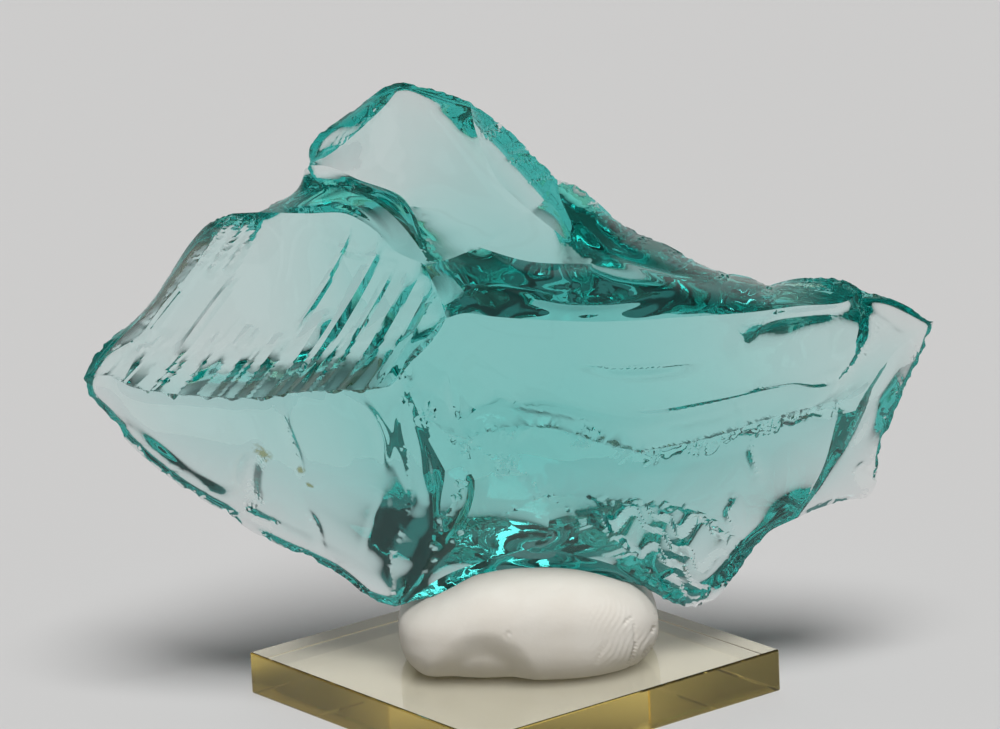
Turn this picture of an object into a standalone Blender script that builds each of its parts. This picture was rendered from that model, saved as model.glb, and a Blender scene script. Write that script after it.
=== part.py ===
"""An andara crystal: a broken chunk of clear teal glass, held by a blob of mounting putty
on a square base of pale yellow acrylic. Metres, +Z up, the front faces -Y.

The crystal is a net of broken edges. Each edge is a smooth path through a few points, two faces
meet on it, and each face is a sheet stretched over its edges, hollowed or bulged by a radius
and bent more sharply beside some of its edges.
"""

import math

import bpy
import numpy as np
from mathutils import Vector
from mathutils.geometry import delaunay_2d_cdt

MM = 0.001

# The base plate, turned so that one corner points to the front.
BASE_SIDE = 31.75
BASE_THICKNESS = 3.65
BASE_TURN = math.radians(-7.2)
BASE_BEVEL = 0.15

# The putty blob, from its left end to its right end, on the plate.
PUTTY_LEFT = -9.5
PUTTY_RIGHT = 12.3
PUTTY_FRONT = -9.2
PUTTY_BACK = 7.6
PUTTY_WAIST = 0.45
PUTTY_FOOT_SINK = 1.6
PUTTY_SQUARENESS = 0.75
PUTTY_END_POWER = 2.8
PUTTY_SECTIONS = 30
PUTTY_SIDES = 32
TOUCH_GAP = 0.3
CROWN_GAP = 0.2

# The crystal is drawn as an eye in front of it and a little above it sees it. A point is
# (millimetres across, millimetres up, depth behind the middle) from CRYSTAL_MIDDLE.
CRYSTAL_MIDDLE = Vector((0.0, 0.0, 25.0))
EYE = Vector((0.0, -469.0, 159.0))
SIGHT_DIP = math.radians(15.53)
SIGHT_ROLL = math.radians(2.59)
MESH_SPACING = 1.25
BEND_SPREAD = 0.35

# Where the edges meet.
JOINTS = {
    "left_tip": (-34.8, 2.4, 0.0),
    "shoulder": (-22.4, 16.1, 1.5),
    "ledge_end": (-20.3, 16.2, 1.2),
    "knee": (-16.3, 20.1, 3.2),
    "peak": (-8.2, 27.0, 4.6),
    "peak_right": (-2.7, 25.4, 5.2),
    "notch": (4.6, 18.9, 5.6),
    "saddle": (22.1, 10.1, 3.6),
    "top_bend": (29.9, 9.7, 1.2),
    "right_tip": (35.9, 7.1, 0.5),
    "right_foot": (24.6, -9.2, -0.2),
    "right_corner": (21.2, -11.6, -0.8),
    "bottom_right": (13.6, -16.1, -2.8),
    "bottom_left": (-8.9, -16.6, -2.6),
    "arc_foot": (-6.5, 11.9, -5.0),
    "arc_fork": (-2.0, 13.3, -2.3),
    "arc_shoulder": (2.5, 16.2, 1.2),
    "wedge_point": (7.3, 11.9, -0.4),
    "hub": (-4.6, 7.4, -10.0),
    "left_hub": (-8.6, 2.7, -9.2),
    "low_hub": (-3.2, -2.8, -10.5),
    "low_fork": (3.4, -7.3, -8.6),
    "lip_left": (-6.0, -12.9, -5.0),
    "right_ridge": (28.2, 0.5, -4.2),
    "back_left": (-2.6, -1.0, 11.0),
    "back_middle": (4.0, 0.0, 12.0),
    "back_right": (27.6, 1.5, 4.6),
    "under_back": (2.6, -9.0, 4.5),
}

# Each edge: the joint it starts at, the points on its way, the joint it ends at.
EDGES = {
    "left_rim": (
        "left_tip", (-33.5, 4.9, 0.6), (-30.9, 7.0, 1.2), (-29.4, 8.5, 1.4), (-27.8, 10.8, 1.8),
        (-25.8, 13.8, 2.2), (-24.1, 15.5, 2.2), "shoulder",
    ),
    "left_inner": (
        "left_tip", (-32.6, 4.4, -1.2), (-30.1, 6.0, -1.9), (-28.2, 8.5, -1.9), (-26.0, 11.1, -1.6),
        (-23.9, 14.1, -0.6), "shoulder",
    ),
    "shoulder_rim": ("shoulder", "ledge_end"),
    "knee_rim": ("ledge_end", (-18.9, 17.0, 3.0), (-17.1, 17.9, 4.0), "knee"),
    "peak_left_rim": (
        "knee", (-15.7, 22.2, 3.6), (-13.5, 23.9, 4.0), (-11.3, 25.5, 4.4), (-9.4, 26.8, 4.6),
        "peak",
    ),
    "peak_inner": (
        "knee", (-14.5, 20.9, 0.8), (-12.7, 22.3, 0.8), (-10.8, 24.0, 1.2), (-9.7, 25.1, 2.0), "peak",
    ),
    "peak_top_rim": ("peak", (-5.5, 26.4, 4.9), "peak_right"),
    "peak_right_rim": (
        "peak_right", (0.6, 23.0, 5.6), (2.4, 21.2, 5.8), (4.0, 19.6, 5.8), "notch",
    ),
    "peak_right_inner": (
        "peak_right", (-2.0, 22.4, 1.4), (-0.4, 19.0, 0.2), (1.2, 17.3, 0.4), "arc_shoulder",
    ),
    "slope_rim": (
        "notch", (6.3, 18.4, 6.2), (8.2, 16.8, 6.6), (9.9, 15.3, 6.6), (13.7, 13.5, 6.0),
        (17.5, 11.5, 5.0), (20.9, 10.7, 4.0), "saddle",
    ),
    "saddle_rim": ("saddle", (24.7, 10.7, 3.0), (28.5, 10.6, 2.0), "top_bend"),
    "tip_rim": ("top_bend", (31.8, 9.2, 1.2), (33.5, 8.5, 1.0), "right_tip"),
    "right_rim": (
        "right_tip", (35.1, 4.7, 0.6), (34.1, 2.7, 0.6), (32.7, -0.4, 0.6), (31.6, -3.6, 0.6),
        (31.1, -6.4, 0.4), (30.4, -7.5, 0.4), (28.9, -7.7, 0.3), (26.4, -8.4, 0.1), "right_foot",
    ),
    "foot_rim": ("right_foot", (22.2, -10.4, -0.5), "right_corner"),
    "low_right_rim": (
        "right_corner", (20.2, -13.0, -1.2), (18.9, -14.6, -1.6), (17.8, -15.9, -2.0),
        (16.4, -16.6, -2.4), (15.2, -16.6, -2.6), "bottom_right",
    ),
    "low_left_rim": (
        "bottom_left", (-11.0, -15.9, -2.0), (-13.1, -14.2, -1.5), (-15.4, -12.9, -1.0),
        (-18.1, -11.7, -0.5), (-21.2, -10.1, 0.0), (-23.1, -8.7, 0.2), (-24.8, -7.8, 0.3),
        (-27.3, -6.2, 0.5), (-29.3, -4.6, 0.6), (-31.4, -2.6, 0.6), (-32.9, -0.5, 0.5),
        (-34.3, 0.9, 0.4), "left_tip",
    ),
    "scar_top": (
        "ledge_end", (-16.2, 16.1, -1.4), (-13.1, 16.1, -2.8), (-11.4, 15.3, -3.9), (-10.0, 14.2, -4.8),
        (-8.9, 13.0, -5.4), "arc_foot",
    ),
    "ledge_top": (
        "knee", (-14.4, 20.0, 3.0), (-11.9, 18.9, 2.8), (-8.5, 17.6, 2.0), (-7.3, 16.0, 0.0),
        (-6.6, 14.0, -2.6), "arc_foot",
    ),
    "arc_low": ("arc_foot", (-4.4, 12.3, -3.7), "arc_fork"),
    "arc_middle": ("arc_fork", (-0.2, 14.3, -1.4), "arc_shoulder"),
    "arc_high": ("arc_shoulder", (3.5, 17.2, 3.8), "notch"),
    "wedge_low": ("arc_fork", (2.3, 12.1, -1.6), "wedge_point"),
    "wedge_right": ("arc_shoulder", (5.2, 14.0, 0.4), "wedge_point"),
    "scar_right": ("arc_foot", (-5.4, 9.6, -8.4), "hub"),
    "scar_foot": (
        "left_tip", (-32.6, 2.6, -1.6), (-30.9, 1.7, -2.8), (-28.2, 1.2, -4.0), (-23.3, 0.8, -5.6),
        (-20.3, 0.8, -6.4), (-17.1, 1.2, -7.4), (-14.4, 1.4, -8.2), (-9.7, 1.7, -9.4), "left_hub",
    ),
    "hub_ridge": ("hub", (-6.4, 5.6, -10.0), (-7.7, 4.3, -9.7), "left_hub"),
    "scoop_top": (
        "hub", (-3.1, 7.8, -10.0), (-0.5, 7.5, -9.8), (2.4, 7.3, -9.4), (7.3, 7.1, -8.5),
        (10.9, 7.2, -7.5), (15.4, 7.5, -6.0), (20.9, 7.9, -3.8), (24.7, 8.4, -2.4), (28.4, 8.7, -1.0),
        "top_bend",
    ),
    "scoop_foot": (
        "right_ridge", (24.9, -0.2, -5.0), (21.7, -1.1, -5.6), (18.6, -2.2, -6.6), (15.4, -3.0, -7.6),
        (11.4, -3.6, -8.8), (7.9, -2.9, -9.6), (4.8, -1.9, -10.2), (0.6, -1.6, -10.6), "low_hub",
    ),
    "right_band_edge": (
        "right_tip", (33.0, 4.9, -1.3), (31.5, 3.1, -2.6), (29.8, 1.6, -3.7), "right_ridge",
    ),
    "right_crease": ("right_ridge", (26.8, -4.8, -2.6), (25.6, -7.2, -1.6), "right_foot"),
    "sparkle_top": ("left_hub", (-7.2, 0.6, -9.7), (-5.2, -1.7, -10.3), "low_hub"),
    "sparkle_low": ("low_hub", (-1.9, -3.6, -10.3), (0.6, -5.2, -9.6), (2.5, -6.2, -9.0), "low_fork"),
    "pale_line": (
        "left_hub", (-8.4, -1.6, -9.2), (-7.6, -5.6, -7.8), (-8.2, -9.6, -5.8), (-9.3, -13.2, -4.2),
        "bottom_left",
    ),
    "flake_edge": (
        "low_hub", (-3.0, -5.7, -9.2), (-4.0, -7.7, -8.2), (-5.2, -10.2, -6.4), "lip_left",
    ),
    "lip_top": (
        "lip_left", (-4.0, -11.1, -6.0), (-1.9, -9.7, -6.8), (0.9, -8.7, -7.6), "low_fork",
    ),
    "lip_end": ("bottom_left", (-7.4, -14.9, -4.0), "lip_left"),
    "low_ridge": (
        "low_fork", (8.0, -7.7, -8.0), (11.0, -7.9, -7.0), (15.9, -8.6, -5.0), (19.4, -11.0, -2.0),
        "right_corner",
    ),
    "lip_right": ("low_fork", (8.1, -10.2, -6.6), (11.4, -12.7, -4.8), "bottom_right"),
    "arch_front": (
        "bottom_left", (-6.0, -15.8, -3.4), (-4.0, -15.2, -3.7), (-1.9, -14.4, -3.9), (1.4, -13.9, -4.0),
        (4.8, -13.8, -4.0), (8.1, -14.1, -3.9), (11.4, -14.8, -3.5), "bottom_right",
    ),
    "arch_back_left": ("bottom_left", (-4.5, -12.2, 2.2), "under_back"),
    "arch_back_right": ("under_back", (9.0, -11.0, 3.0), "bottom_right"),
    "back_knee": ("knee", (-12.2, 14.0, 6.0), (-6.8, 6.0, 8.8), "back_left"),
    "back_keel": ("back_left", (-3.0, -5.0, 8.2), (-5.4, -10.6, 3.2), "bottom_left"),
    "back_spine": ("back_left", (0.0, 0.0, 11.7), "back_middle"),
    "back_notch": ("notch", (4.4, 10.0, 9.2), "back_middle"),
    "back_ridge": ("back_middle", (12.0, 1.0, 10.2), (20.0, 1.6, 7.8), "back_right"),
    "back_bend": ("top_bend", (29.2, 6.5, 3.2), "back_right"),
    "back_corner": ("back_right", (26.6, -3.0, 3.0), "right_foot"),
    "back_low": ("back_middle", (3.8, -6.0, 8.6), "under_back"),
}

# Each face: the edges round it, and the radius of its hollow (negative where it bulges).
FACES = {
    "left_scar": (("left_inner", "shoulder_rim", "scar_top", "scar_right", "hub_ridge", "scar_foot"), 45.0),
    "left_band": (("left_rim", "left_inner"), -20.0),
    "low_left": (("scar_foot", "pale_line", "low_left_rim"), 90.0),
    "ledge": (("knee_rim", "ledge_top", "scar_top"), 0.0),
    "peak_front": (
        ("ledge_top", "arc_low", "arc_middle", "peak_right_inner", "peak_top_rim", "peak_inner"), 45.0,
    ),
    "peak_band": (("peak_left_rim", "peak_inner"), -20.0),
    "peak_side": (("peak_right_rim", "arc_high", "peak_right_inner"), 60.0),
    "wedge": (("arc_middle", "wedge_right", "wedge_low"), 80.0),
    "slope": (
        (
            "slope_rim", "saddle_rim", "scoop_top", "scar_right", "arc_low", "wedge_low", "wedge_right",
            "arc_high",
        ),
        -65.0,
    ),
    "scoop": (
        (
            "scoop_top", "tip_rim", "right_band_edge", "scoop_foot", "sparkle_top", "hub_ridge",
        ),
        32.0,
    ),
    "right_band": (("right_rim", "right_crease", "right_band_edge"), 60.0),
    "low_middle": (("scoop_foot", "right_crease", "foot_rim", "low_ridge", "sparkle_low"), 80.0),
    "flake": (("sparkle_top", "flake_edge", "lip_end", "pale_line"), 40.0),
    "triangle": (("sparkle_low", "lip_top", "flake_edge"), 60.0),
    "lip": (("lip_top", "lip_right", "arch_front", "lip_end"), 40.0),
    "low_right": (("low_ridge", "low_right_rim", "lip_right"), -60.0),
    "underside": (("arch_front", "arch_back_right", "arch_back_left"), 0.0),
    "back_left_face": (
        ("left_rim", "shoulder_rim", "knee_rim", "back_knee", "back_keel", "low_left_rim"), 200.0,
    ),
    "back_peak_face": (
        ("peak_left_rim", "peak_top_rim", "peak_right_rim", "back_notch", "back_spine", "back_knee"), 60.0,
    ),
    "back_slope_face": (("slope_rim", "saddle_rim", "back_bend", "back_ridge", "back_notch"), -90.0),
    "back_right_face": (("tip_rim", "right_rim", "back_corner", "back_bend"), -60.0),
    "back_low_right": (
        (
            "back_ridge", "back_corner", "foot_rim", "low_right_rim", "arch_back_right", "back_low",
        ),
        -90.0,
    ),
    "back_low_left": (("back_spine", "back_low", "arch_back_left", "back_keel"), -50.0),
}

# Where a face bends beside an edge: the edge, the distance from it, and the radius of the bend
# (negative where the face rounds off to the edge).
BENDS = {
    "left_scar": (("scar_foot", 3.9, 2.6),),
    "scoop": (("scoop_foot", 1.6, 1.3),),
    "back_left_face": (
        ("left_rim", 1.5, -2.5), ("shoulder_rim", 1.2, -3.0), ("knee_rim", 1.5, -3.0),
        ("low_left_rim", 0.9, -2.0),
    ),
    "back_right_face": (("tip_rim", 0.8, -2.5), ("right_rim", 0.6, -1.8)),
    "back_low_right": (("low_right_rim", 2.5, -5.0),),
    "back_peak_face": (
        ("peak_left_rim", 1.2, -3.0), ("peak_top_rim", 1.0, -3.0), ("peak_right_rim", 4.0, -5.5),
    ),
}


def clear_scene():
    for obj in list(bpy.data.objects):
        bpy.data.objects.remove(obj, do_unlink=True)


def plain_material(name, colour, roughness, transmission=0.0, ior=1.5):
    material = bpy.data.materials.new(name)
    material.use_nodes = True
    shader = material.node_tree.nodes["Principled BSDF"]
    shader.inputs["Base Color"].default_value = (*colour, 1.0)
    shader.inputs["Roughness"].default_value = roughness
    shader.inputs["Metallic"].default_value = 0.0
    shader.inputs["Transmission Weight"].default_value = transmission
    shader.inputs["IOR"].default_value = ior
    return material


def add_object(name, points, triangles, material, smooth=False):
    """A mesh object from points in millimetres."""
    mesh = bpy.data.meshes.new(name)
    mesh.from_pydata([tuple(float(c) * MM for c in p) for p in points], [], triangles)
    mesh.validate()
    mesh.materials.append(material)
    mesh.polygons.foreach_set("use_smooth", [smooth] * len(mesh.polygons))
    obj = bpy.data.objects.new(name, mesh)
    bpy.context.collection.objects.link(obj)
    return obj


# --- the crystal ---


def sight_axes():
    """Right and up as the eye sees them."""
    level_up = Vector((0.0, math.sin(SIGHT_DIP), math.cos(SIGHT_DIP)))
    level_right = Vector((1.0, 0.0, 0.0))
    right = level_right * math.cos(SIGHT_ROLL) - level_up * math.sin(SIGHT_ROLL)
    up = level_up * math.cos(SIGHT_ROLL) + level_right * math.sin(SIGHT_ROLL)
    return right, up


def placed(point):
    """The place in space of a point drawn as the eye sees it, at its depth."""
    across, height, depth = point
    right, up = sight_axes()
    ray = CRYSTAL_MIDDLE - EYE + right * across + up * height
    reach = (depth - EYE.y) / ray.y
    return np.array(EYE + ray * reach)


def smooth_path(points, spacing):
    """A centripetal Catmull-Rom path through the points, cut into even steps."""
    points = np.array(points)
    before = 2.0 * points[0] - points[1]
    after = 2.0 * points[-1] - points[-2]
    chain = np.vstack([before, points, after])
    knots = np.concatenate([[0.0], np.cumsum(np.sqrt(np.linalg.norm(np.diff(chain, axis=0), axis=1)))])
    samples = []
    for i in range(1, len(chain) - 2):
        t0, t1, t2, t3 = knots[i - 1:i + 3]
        t = np.linspace(t1, t2, 24, endpoint=False)[:, None]
        a1 = (t1 - t) / (t1 - t0) * chain[i - 1] + (t - t0) / (t1 - t0) * chain[i]
        a2 = (t2 - t) / (t2 - t1) * chain[i] + (t - t1) / (t2 - t1) * chain[i + 1]
        a3 = (t3 - t) / (t3 - t2) * chain[i + 1] + (t - t2) / (t3 - t2) * chain[i + 2]
        b1 = (t2 - t) / (t2 - t0) * a1 + (t - t0) / (t2 - t0) * a2
        b2 = (t3 - t) / (t3 - t1) * a2 + (t - t1) / (t3 - t1) * a3
        samples.append((t2 - t) / (t2 - t1) * b1 + (t - t1) / (t2 - t1) * b2)
    samples = np.vstack(samples + [points[-1:]])
    along = np.concatenate([[0.0], np.cumsum(np.linalg.norm(np.diff(samples, axis=0), axis=1))])
    steps = max(2, round(along[-1] / spacing))
    wanted = np.linspace(0.0, along[-1], steps + 1)
    return np.column_stack([np.interp(wanted, along, samples[:, k]) for k in range(3)])


def edge_stops(name):
    """The places that an edge passes through."""
    start, *middle, end = EDGES[name]
    return [placed(point) for point in (JOINTS[start], *middle, JOINTS[end])]


def edge_paths(spacing):
    """The points of the whole net, and each edge as a row of indices into them."""
    points = []
    joint_index = {}
    for name, joint in JOINTS.items():
        joint_index[name] = len(points)
        points.append(placed(joint))
    rows = {}
    for name, (start, *_, end) in EDGES.items():
        path = smooth_path(edge_stops(name), spacing)
        first = len(points)
        points.extend(path[1:-1])
        rows[name] = [joint_index[start], *range(first, len(points)), joint_index[end]]
    return points, rows


def loops_of_faces(rows):
    """Each face's loop of indices, turned so that every edge is walked once each way."""
    walks = {}
    for face, (edges, _) in FACES.items():
        first = rows[edges[0]]
        second = rows[edges[1]]
        forward = first[-1] in (second[0], second[-1])
        if len(edges) == 2:
            forward = True
        walk = []
        at = first[0] if forward else first[-1]
        for edge in edges:
            row = rows[edge]
            ahead = row[0] == at
            assert ahead or row[-1] == at, (face, edge)
            walk.append((edge, ahead))
            at = row[-1] if ahead else row[0]
        walks[face] = walk
    turned = {next(iter(FACES)): False}
    waiting = list(turned)
    while waiting:
        face = waiting.pop()
        mine = {edge: ahead != turned[face] for edge, ahead in walks[face]}
        for other, walk in walks.items():
            if other in turned:
                continue
            shared = [(edge, ahead) for edge, ahead in walk if edge in mine]
            if shared:
                edge, ahead = shared[0]
                turned[other] = ahead == mine[edge]
                waiting.append(other)
    loops = {}
    for face, walk in walks.items():
        loop = []
        for edge, ahead in walk:
            row = rows[edge] if ahead else rows[edge][::-1]
            loop.extend(row[:-1])
        loops[face] = loop[::-1] if turned[face] else loop
    return loops


def inside_points(outline, spacing):
    """A honeycomb of points inside an outline, clear of its sides."""
    low = outline.min(axis=0)
    high = outline.max(axis=0)
    row_step = spacing * math.sqrt(0.75)
    rows = np.arange(low[1] + row_step / 2, high[1], row_step)
    points = []
    for k, y in enumerate(rows):
        x = np.arange(low[0] + spacing * (0.5 + 0.5 * (k % 2)), high[0], spacing)
        points.append(np.column_stack([x, np.full(len(x), y)]))
    points = np.vstack(points)
    start = outline
    end = np.roll(outline, -1, axis=0)
    side = end - start
    x, y = points[:, :1], points[:, 1:]
    crosses = (start[:, 1] > y) != (end[:, 1] > y)
    rise = np.where(np.abs(side[:, 1]) < 1e-12, 1e-12, side[:, 1])
    crosses &= x < side[:, 0] * (y - start[:, 1]) / rise + start[:, 0]
    inside = crosses.sum(axis=1) % 2 == 1
    points = points[inside]
    offset = points[:, None, :] - start[None]
    along = np.clip((offset * side).sum(axis=2) / (side * side).sum(axis=1), 0.0, 1.0)
    away = np.linalg.norm(offset - along[..., None] * side, axis=2).min(axis=1)
    return points[away > 0.6 * spacing]


def stretched_heights(flat, triangles, fixed_count, fixed_heights, bend):
    """Heights of a sheet held along its outline, each place bent by so much, in a steady state."""
    corner = flat[triangles]
    pairs, weights = [], []
    for k in range(3):
        here, left, right = corner[:, k], corner[:, (k + 1) % 3], corner[:, (k + 2) % 3]
        a, b = left - here, right - here
        cross = np.abs(a[:, 0] * b[:, 1] - a[:, 1] * b[:, 0])
        weights.append(0.5 * (a * b).sum(axis=1) / np.maximum(cross, 1e-9))
        pairs.append(triangles[:, [(k + 1) % 3, (k + 2) % 3]])
    pairs = np.vstack(pairs)
    weights = np.clip(np.concatenate(weights), 1e-3, 1e3)
    a, b = corner[:, 1] - corner[:, 0], corner[:, 2] - corner[:, 0]
    area = np.abs(a[:, 0] * b[:, 1] - a[:, 1] * b[:, 0]) / 2
    count = len(flat)
    share = np.zeros(count)
    np.add.at(share, triangles, (area / 3)[:, None])
    rows = np.concatenate([pairs[:, 0], pairs[:, 1]])
    columns = np.concatenate([pairs[:, 1], pairs[:, 0]])
    both = np.concatenate([weights, weights])

    def laplacian(h):
        return np.bincount(rows, both * (h[rows] - h[columns]), minlength=count)

    heights = np.full(count, fixed_heights.mean())
    heights[:fixed_count] = fixed_heights
    pull = share * bend
    residual = pull - laplacian(heights)
    residual[:fixed_count] = 0.0
    direction = residual.copy()
    size = residual @ residual
    for _ in range(2000):
        if size < 1e-16:
            break
        moved = laplacian(direction)
        moved[:fixed_count] = 0.0
        step = size / (direction @ moved)
        heights += step * direction
        residual -= step * moved
        new_size = residual @ residual
        direction = residual + new_size / size * direction
        size = new_size
    return heights


def bend_of(flat, hollow, bends):
    """How strongly each place of a sheet is bent, by its hollow and beside its edges."""
    bend = np.full(len(flat), 2.0 / hollow if hollow else 0.0)
    for edge, distance, radius in bends:
        away = np.linalg.norm(flat[:, None, :] - edge[None], axis=2).min(axis=1)
        bend += np.exp(-((away / distance - 1.0) / BEND_SPREAD) ** 2) * 2.0 / radius
    return bend


def sheet_over(loop_points, hollow, bends, spacing):
    """A sheet over a closed outline: its new inner points, and its triangles with the outline first."""
    centre = loop_points.mean(axis=0)
    offset = loop_points - centre
    normal = np.cross(offset, np.roll(offset, -1, axis=0)).sum(axis=0)
    normal /= np.linalg.norm(normal)
    side = np.cross(normal, [0.3, 0.5, 0.8])
    side /= np.linalg.norm(side)
    other = np.cross(normal, side)
    outline = np.column_stack([offset @ side, offset @ other])
    flat = np.vstack([outline, inside_points(outline, spacing)])
    fixed = len(outline)
    found = delaunay_2d_cdt([Vector(p) for p in flat], [], [list(range(fixed))], 1, 1e-7)
    origin = [sources[0] for sources in found[3]]
    triangles = np.array([[origin[i] for i in face] for face in found[2]])
    a = flat[triangles[:, 1]] - flat[triangles[:, 0]]
    b = flat[triangles[:, 2]] - flat[triangles[:, 0]]
    backward = a[:, 0] * b[:, 1] - a[:, 1] * b[:, 0] < 0
    triangles[backward] = triangles[backward][:, ::-1]
    bends = [
        (np.column_stack([(edge - centre) @ side, (edge - centre) @ other]), distance, radius)
        for edge, distance, radius in bends
    ]
    heights = stretched_heights(flat, triangles, fixed, offset @ normal, bend_of(flat, hollow, bends))
    inner = centre + flat[fixed:, :1] * side + flat[fixed:, 1:] * other
    return inner + heights[fixed:, None] * normal, triangles


def crystal_mesh(spacing):
    points, rows = edge_paths(spacing)
    triangles = []
    for face, loop in loops_of_faces(rows).items():
        hollow = FACES[face][1]
        loop_points = np.array([points[i] for i in loop])
        bends = [
            (np.array([points[i] for i in rows[edge]]), distance, radius)
            for edge, distance, radius in BENDS.get(face, ())
        ]
        inner, local = sheet_over(loop_points, hollow, bends, spacing)
        index = np.array(loop + list(range(len(points), len(points) + len(inner))))
        points.extend(inner)
        triangles.append(index[local])
    points = np.array(points)
    triangles = np.vstack(triangles)
    corner = points[triangles]
    volume = np.einsum("ij,ij->i", corner[:, 0], np.cross(corner[:, 1], corner[:, 2])).sum() / 6
    if volume < 0:
        triangles = triangles[:, ::-1]
    return points, triangles


def make_crystal():
    glass = plain_material("teal_glass", (0.42, 0.86, 0.82), 0.03, transmission=1.0, ior=1.5)
    points, triangles = crystal_mesh(MESH_SPACING)
    return add_object("andara_crystal", points, triangles.tolist(), glass)


# --- the putty ---


def arch_height(x):
    """The height of the arch in the crystal's foot, under which the putty's crown stays."""
    heights = []
    for names in (("arch_front",), ("arch_back_left", "arch_back_right")):
        path = np.vstack([smooth_path(edge_stops(name), MESH_SPACING) for name in names])
        heights.append(np.interp(x, path[:, 0], path[:, 2]))
    return min(heights)


def superellipse(angle, power):
    c, s = math.cos(angle), math.sin(angle)
    return math.copysign(abs(c) ** power, c), math.copysign(abs(s) ** power, s)


def make_putty():
    clay = plain_material("putty_clay", (0.68, 0.64, 0.57), 0.7)
    floor = BASE_THICKNESS + TOUCH_GAP
    middle = 0.5 * (PUTTY_LEFT + PUTTY_RIGHT)
    half_length = 0.5 * (PUTTY_RIGHT - PUTTY_LEFT)
    depth = 0.5 * (PUTTY_FRONT + PUTTY_BACK)
    half_width = 0.5 * (PUTTY_BACK - PUTTY_FRONT)
    points = []
    for k in range(1, PUTTY_SECTIONS):
        t = -math.cos(math.pi * k / PUTTY_SECTIONS)
        x = middle + half_length * t
        cap = (1.0 - abs(t) ** PUTTY_END_POWER) ** (1.0 / PUTTY_END_POWER)
        crown = arch_height(x) - CROWN_GAP
        waist = floor + PUTTY_WAIST * (crown - floor)
        for j in range(PUTTY_SIDES):
            across, up = superellipse(2.0 * math.pi * (j + 0.5) / PUTTY_SIDES, PUTTY_SQUARENESS)
            tall = crown - waist if up > 0.0 else PUTTY_FOOT_SINK * (waist - floor)
            height = max(floor, waist + tall * cap * up)
            points.append((x, depth + half_width * cap * across, height))
    left_end = len(points)
    for x in (PUTTY_LEFT, PUTTY_RIGHT):
        points.append((x, depth, floor + PUTTY_WAIST * (arch_height(x) - CROWN_GAP - floor)))
    faces = []
    for k in range(PUTTY_SECTIONS - 2):
        for j in range(PUTTY_SIDES):
            a = k * PUTTY_SIDES + j
            b = k * PUTTY_SIDES + (j + 1) % PUTTY_SIDES
            faces.append((a, b, b + PUTTY_SIDES, a + PUTTY_SIDES))
    last = (PUTTY_SECTIONS - 2) * PUTTY_SIDES
    for j in range(PUTTY_SIDES):
        following = (j + 1) % PUTTY_SIDES
        faces.append((following, j, left_end))
        faces.append((last + j, last + following, left_end + 1))
    return add_object("mounting_putty", points, faces, clay, smooth=True)


# --- the base ---


def make_base():
    acrylic = plain_material("yellow_acrylic", (0.86, 0.80, 0.50), 0.08, transmission=0.9, ior=1.49)
    half = BASE_SIDE / 2
    corners = [(-half, -half), (half, -half), (half, half), (-half, half)]
    points = [(x, y, z) for z in (0.0, BASE_THICKNESS) for x, y in corners]
    faces = [(3, 2, 1, 0), (4, 5, 6, 7)]
    faces += [(k, (k + 1) % 4, 4 + (k + 1) % 4, 4 + k) for k in range(4)]
    base = add_object("acrylic_base", points, faces, acrylic)
    base.rotation_euler.z = BASE_TURN + math.pi / 4
    bevel = base.modifiers.new("soft_edges", "BEVEL")
    bevel.width = BASE_BEVEL * MM
    bevel.segments = 2
    return base


clear_scene()
make_crystal()
make_putty()
make_base()
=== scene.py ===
"""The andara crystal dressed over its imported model: the broken teal glass, its putty and its
acrylic base, with a pale floor, soft studio light and the front camera."""

import math

import bpy
import numpy as np
from mathutils import Matrix, Vector, noise
from mathutils.bvhtree import BVHTree
from mathutils.geometry import delaunay_2d_cdt


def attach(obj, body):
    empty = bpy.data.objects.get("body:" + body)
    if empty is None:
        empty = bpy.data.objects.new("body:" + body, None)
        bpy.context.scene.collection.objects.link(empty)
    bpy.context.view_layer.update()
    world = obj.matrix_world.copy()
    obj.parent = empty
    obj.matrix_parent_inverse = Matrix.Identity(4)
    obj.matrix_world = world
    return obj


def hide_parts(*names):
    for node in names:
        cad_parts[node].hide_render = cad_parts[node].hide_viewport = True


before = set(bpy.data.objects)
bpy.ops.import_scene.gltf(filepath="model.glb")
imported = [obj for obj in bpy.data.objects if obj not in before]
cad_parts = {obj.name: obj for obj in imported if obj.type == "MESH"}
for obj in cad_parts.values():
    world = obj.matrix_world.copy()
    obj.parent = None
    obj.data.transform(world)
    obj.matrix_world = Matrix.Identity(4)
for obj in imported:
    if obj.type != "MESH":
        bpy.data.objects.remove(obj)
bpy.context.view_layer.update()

MM = 0.001
# How many points are handled at a time, to save memory.
BATCH = 2000

# The eye that the crystal is drawn from, which is also where the camera stands.
CRYSTAL_MIDDLE = Vector((0.0, 0.0, 25.0))
EYE = Vector((0.0, -469.0, 159.0))
SIGHT_DIP = math.radians(15.53)
SIGHT_ROLL = math.radians(2.59)
LENS = 211.1
# How wide a bend beside an edge is, as a share of its distance from the edge.
BEND_SPREAD = 0.35
# The angle between two triangles past which the glass's shading shows an edge.
SHARP_ANGLE = math.radians(22)

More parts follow.
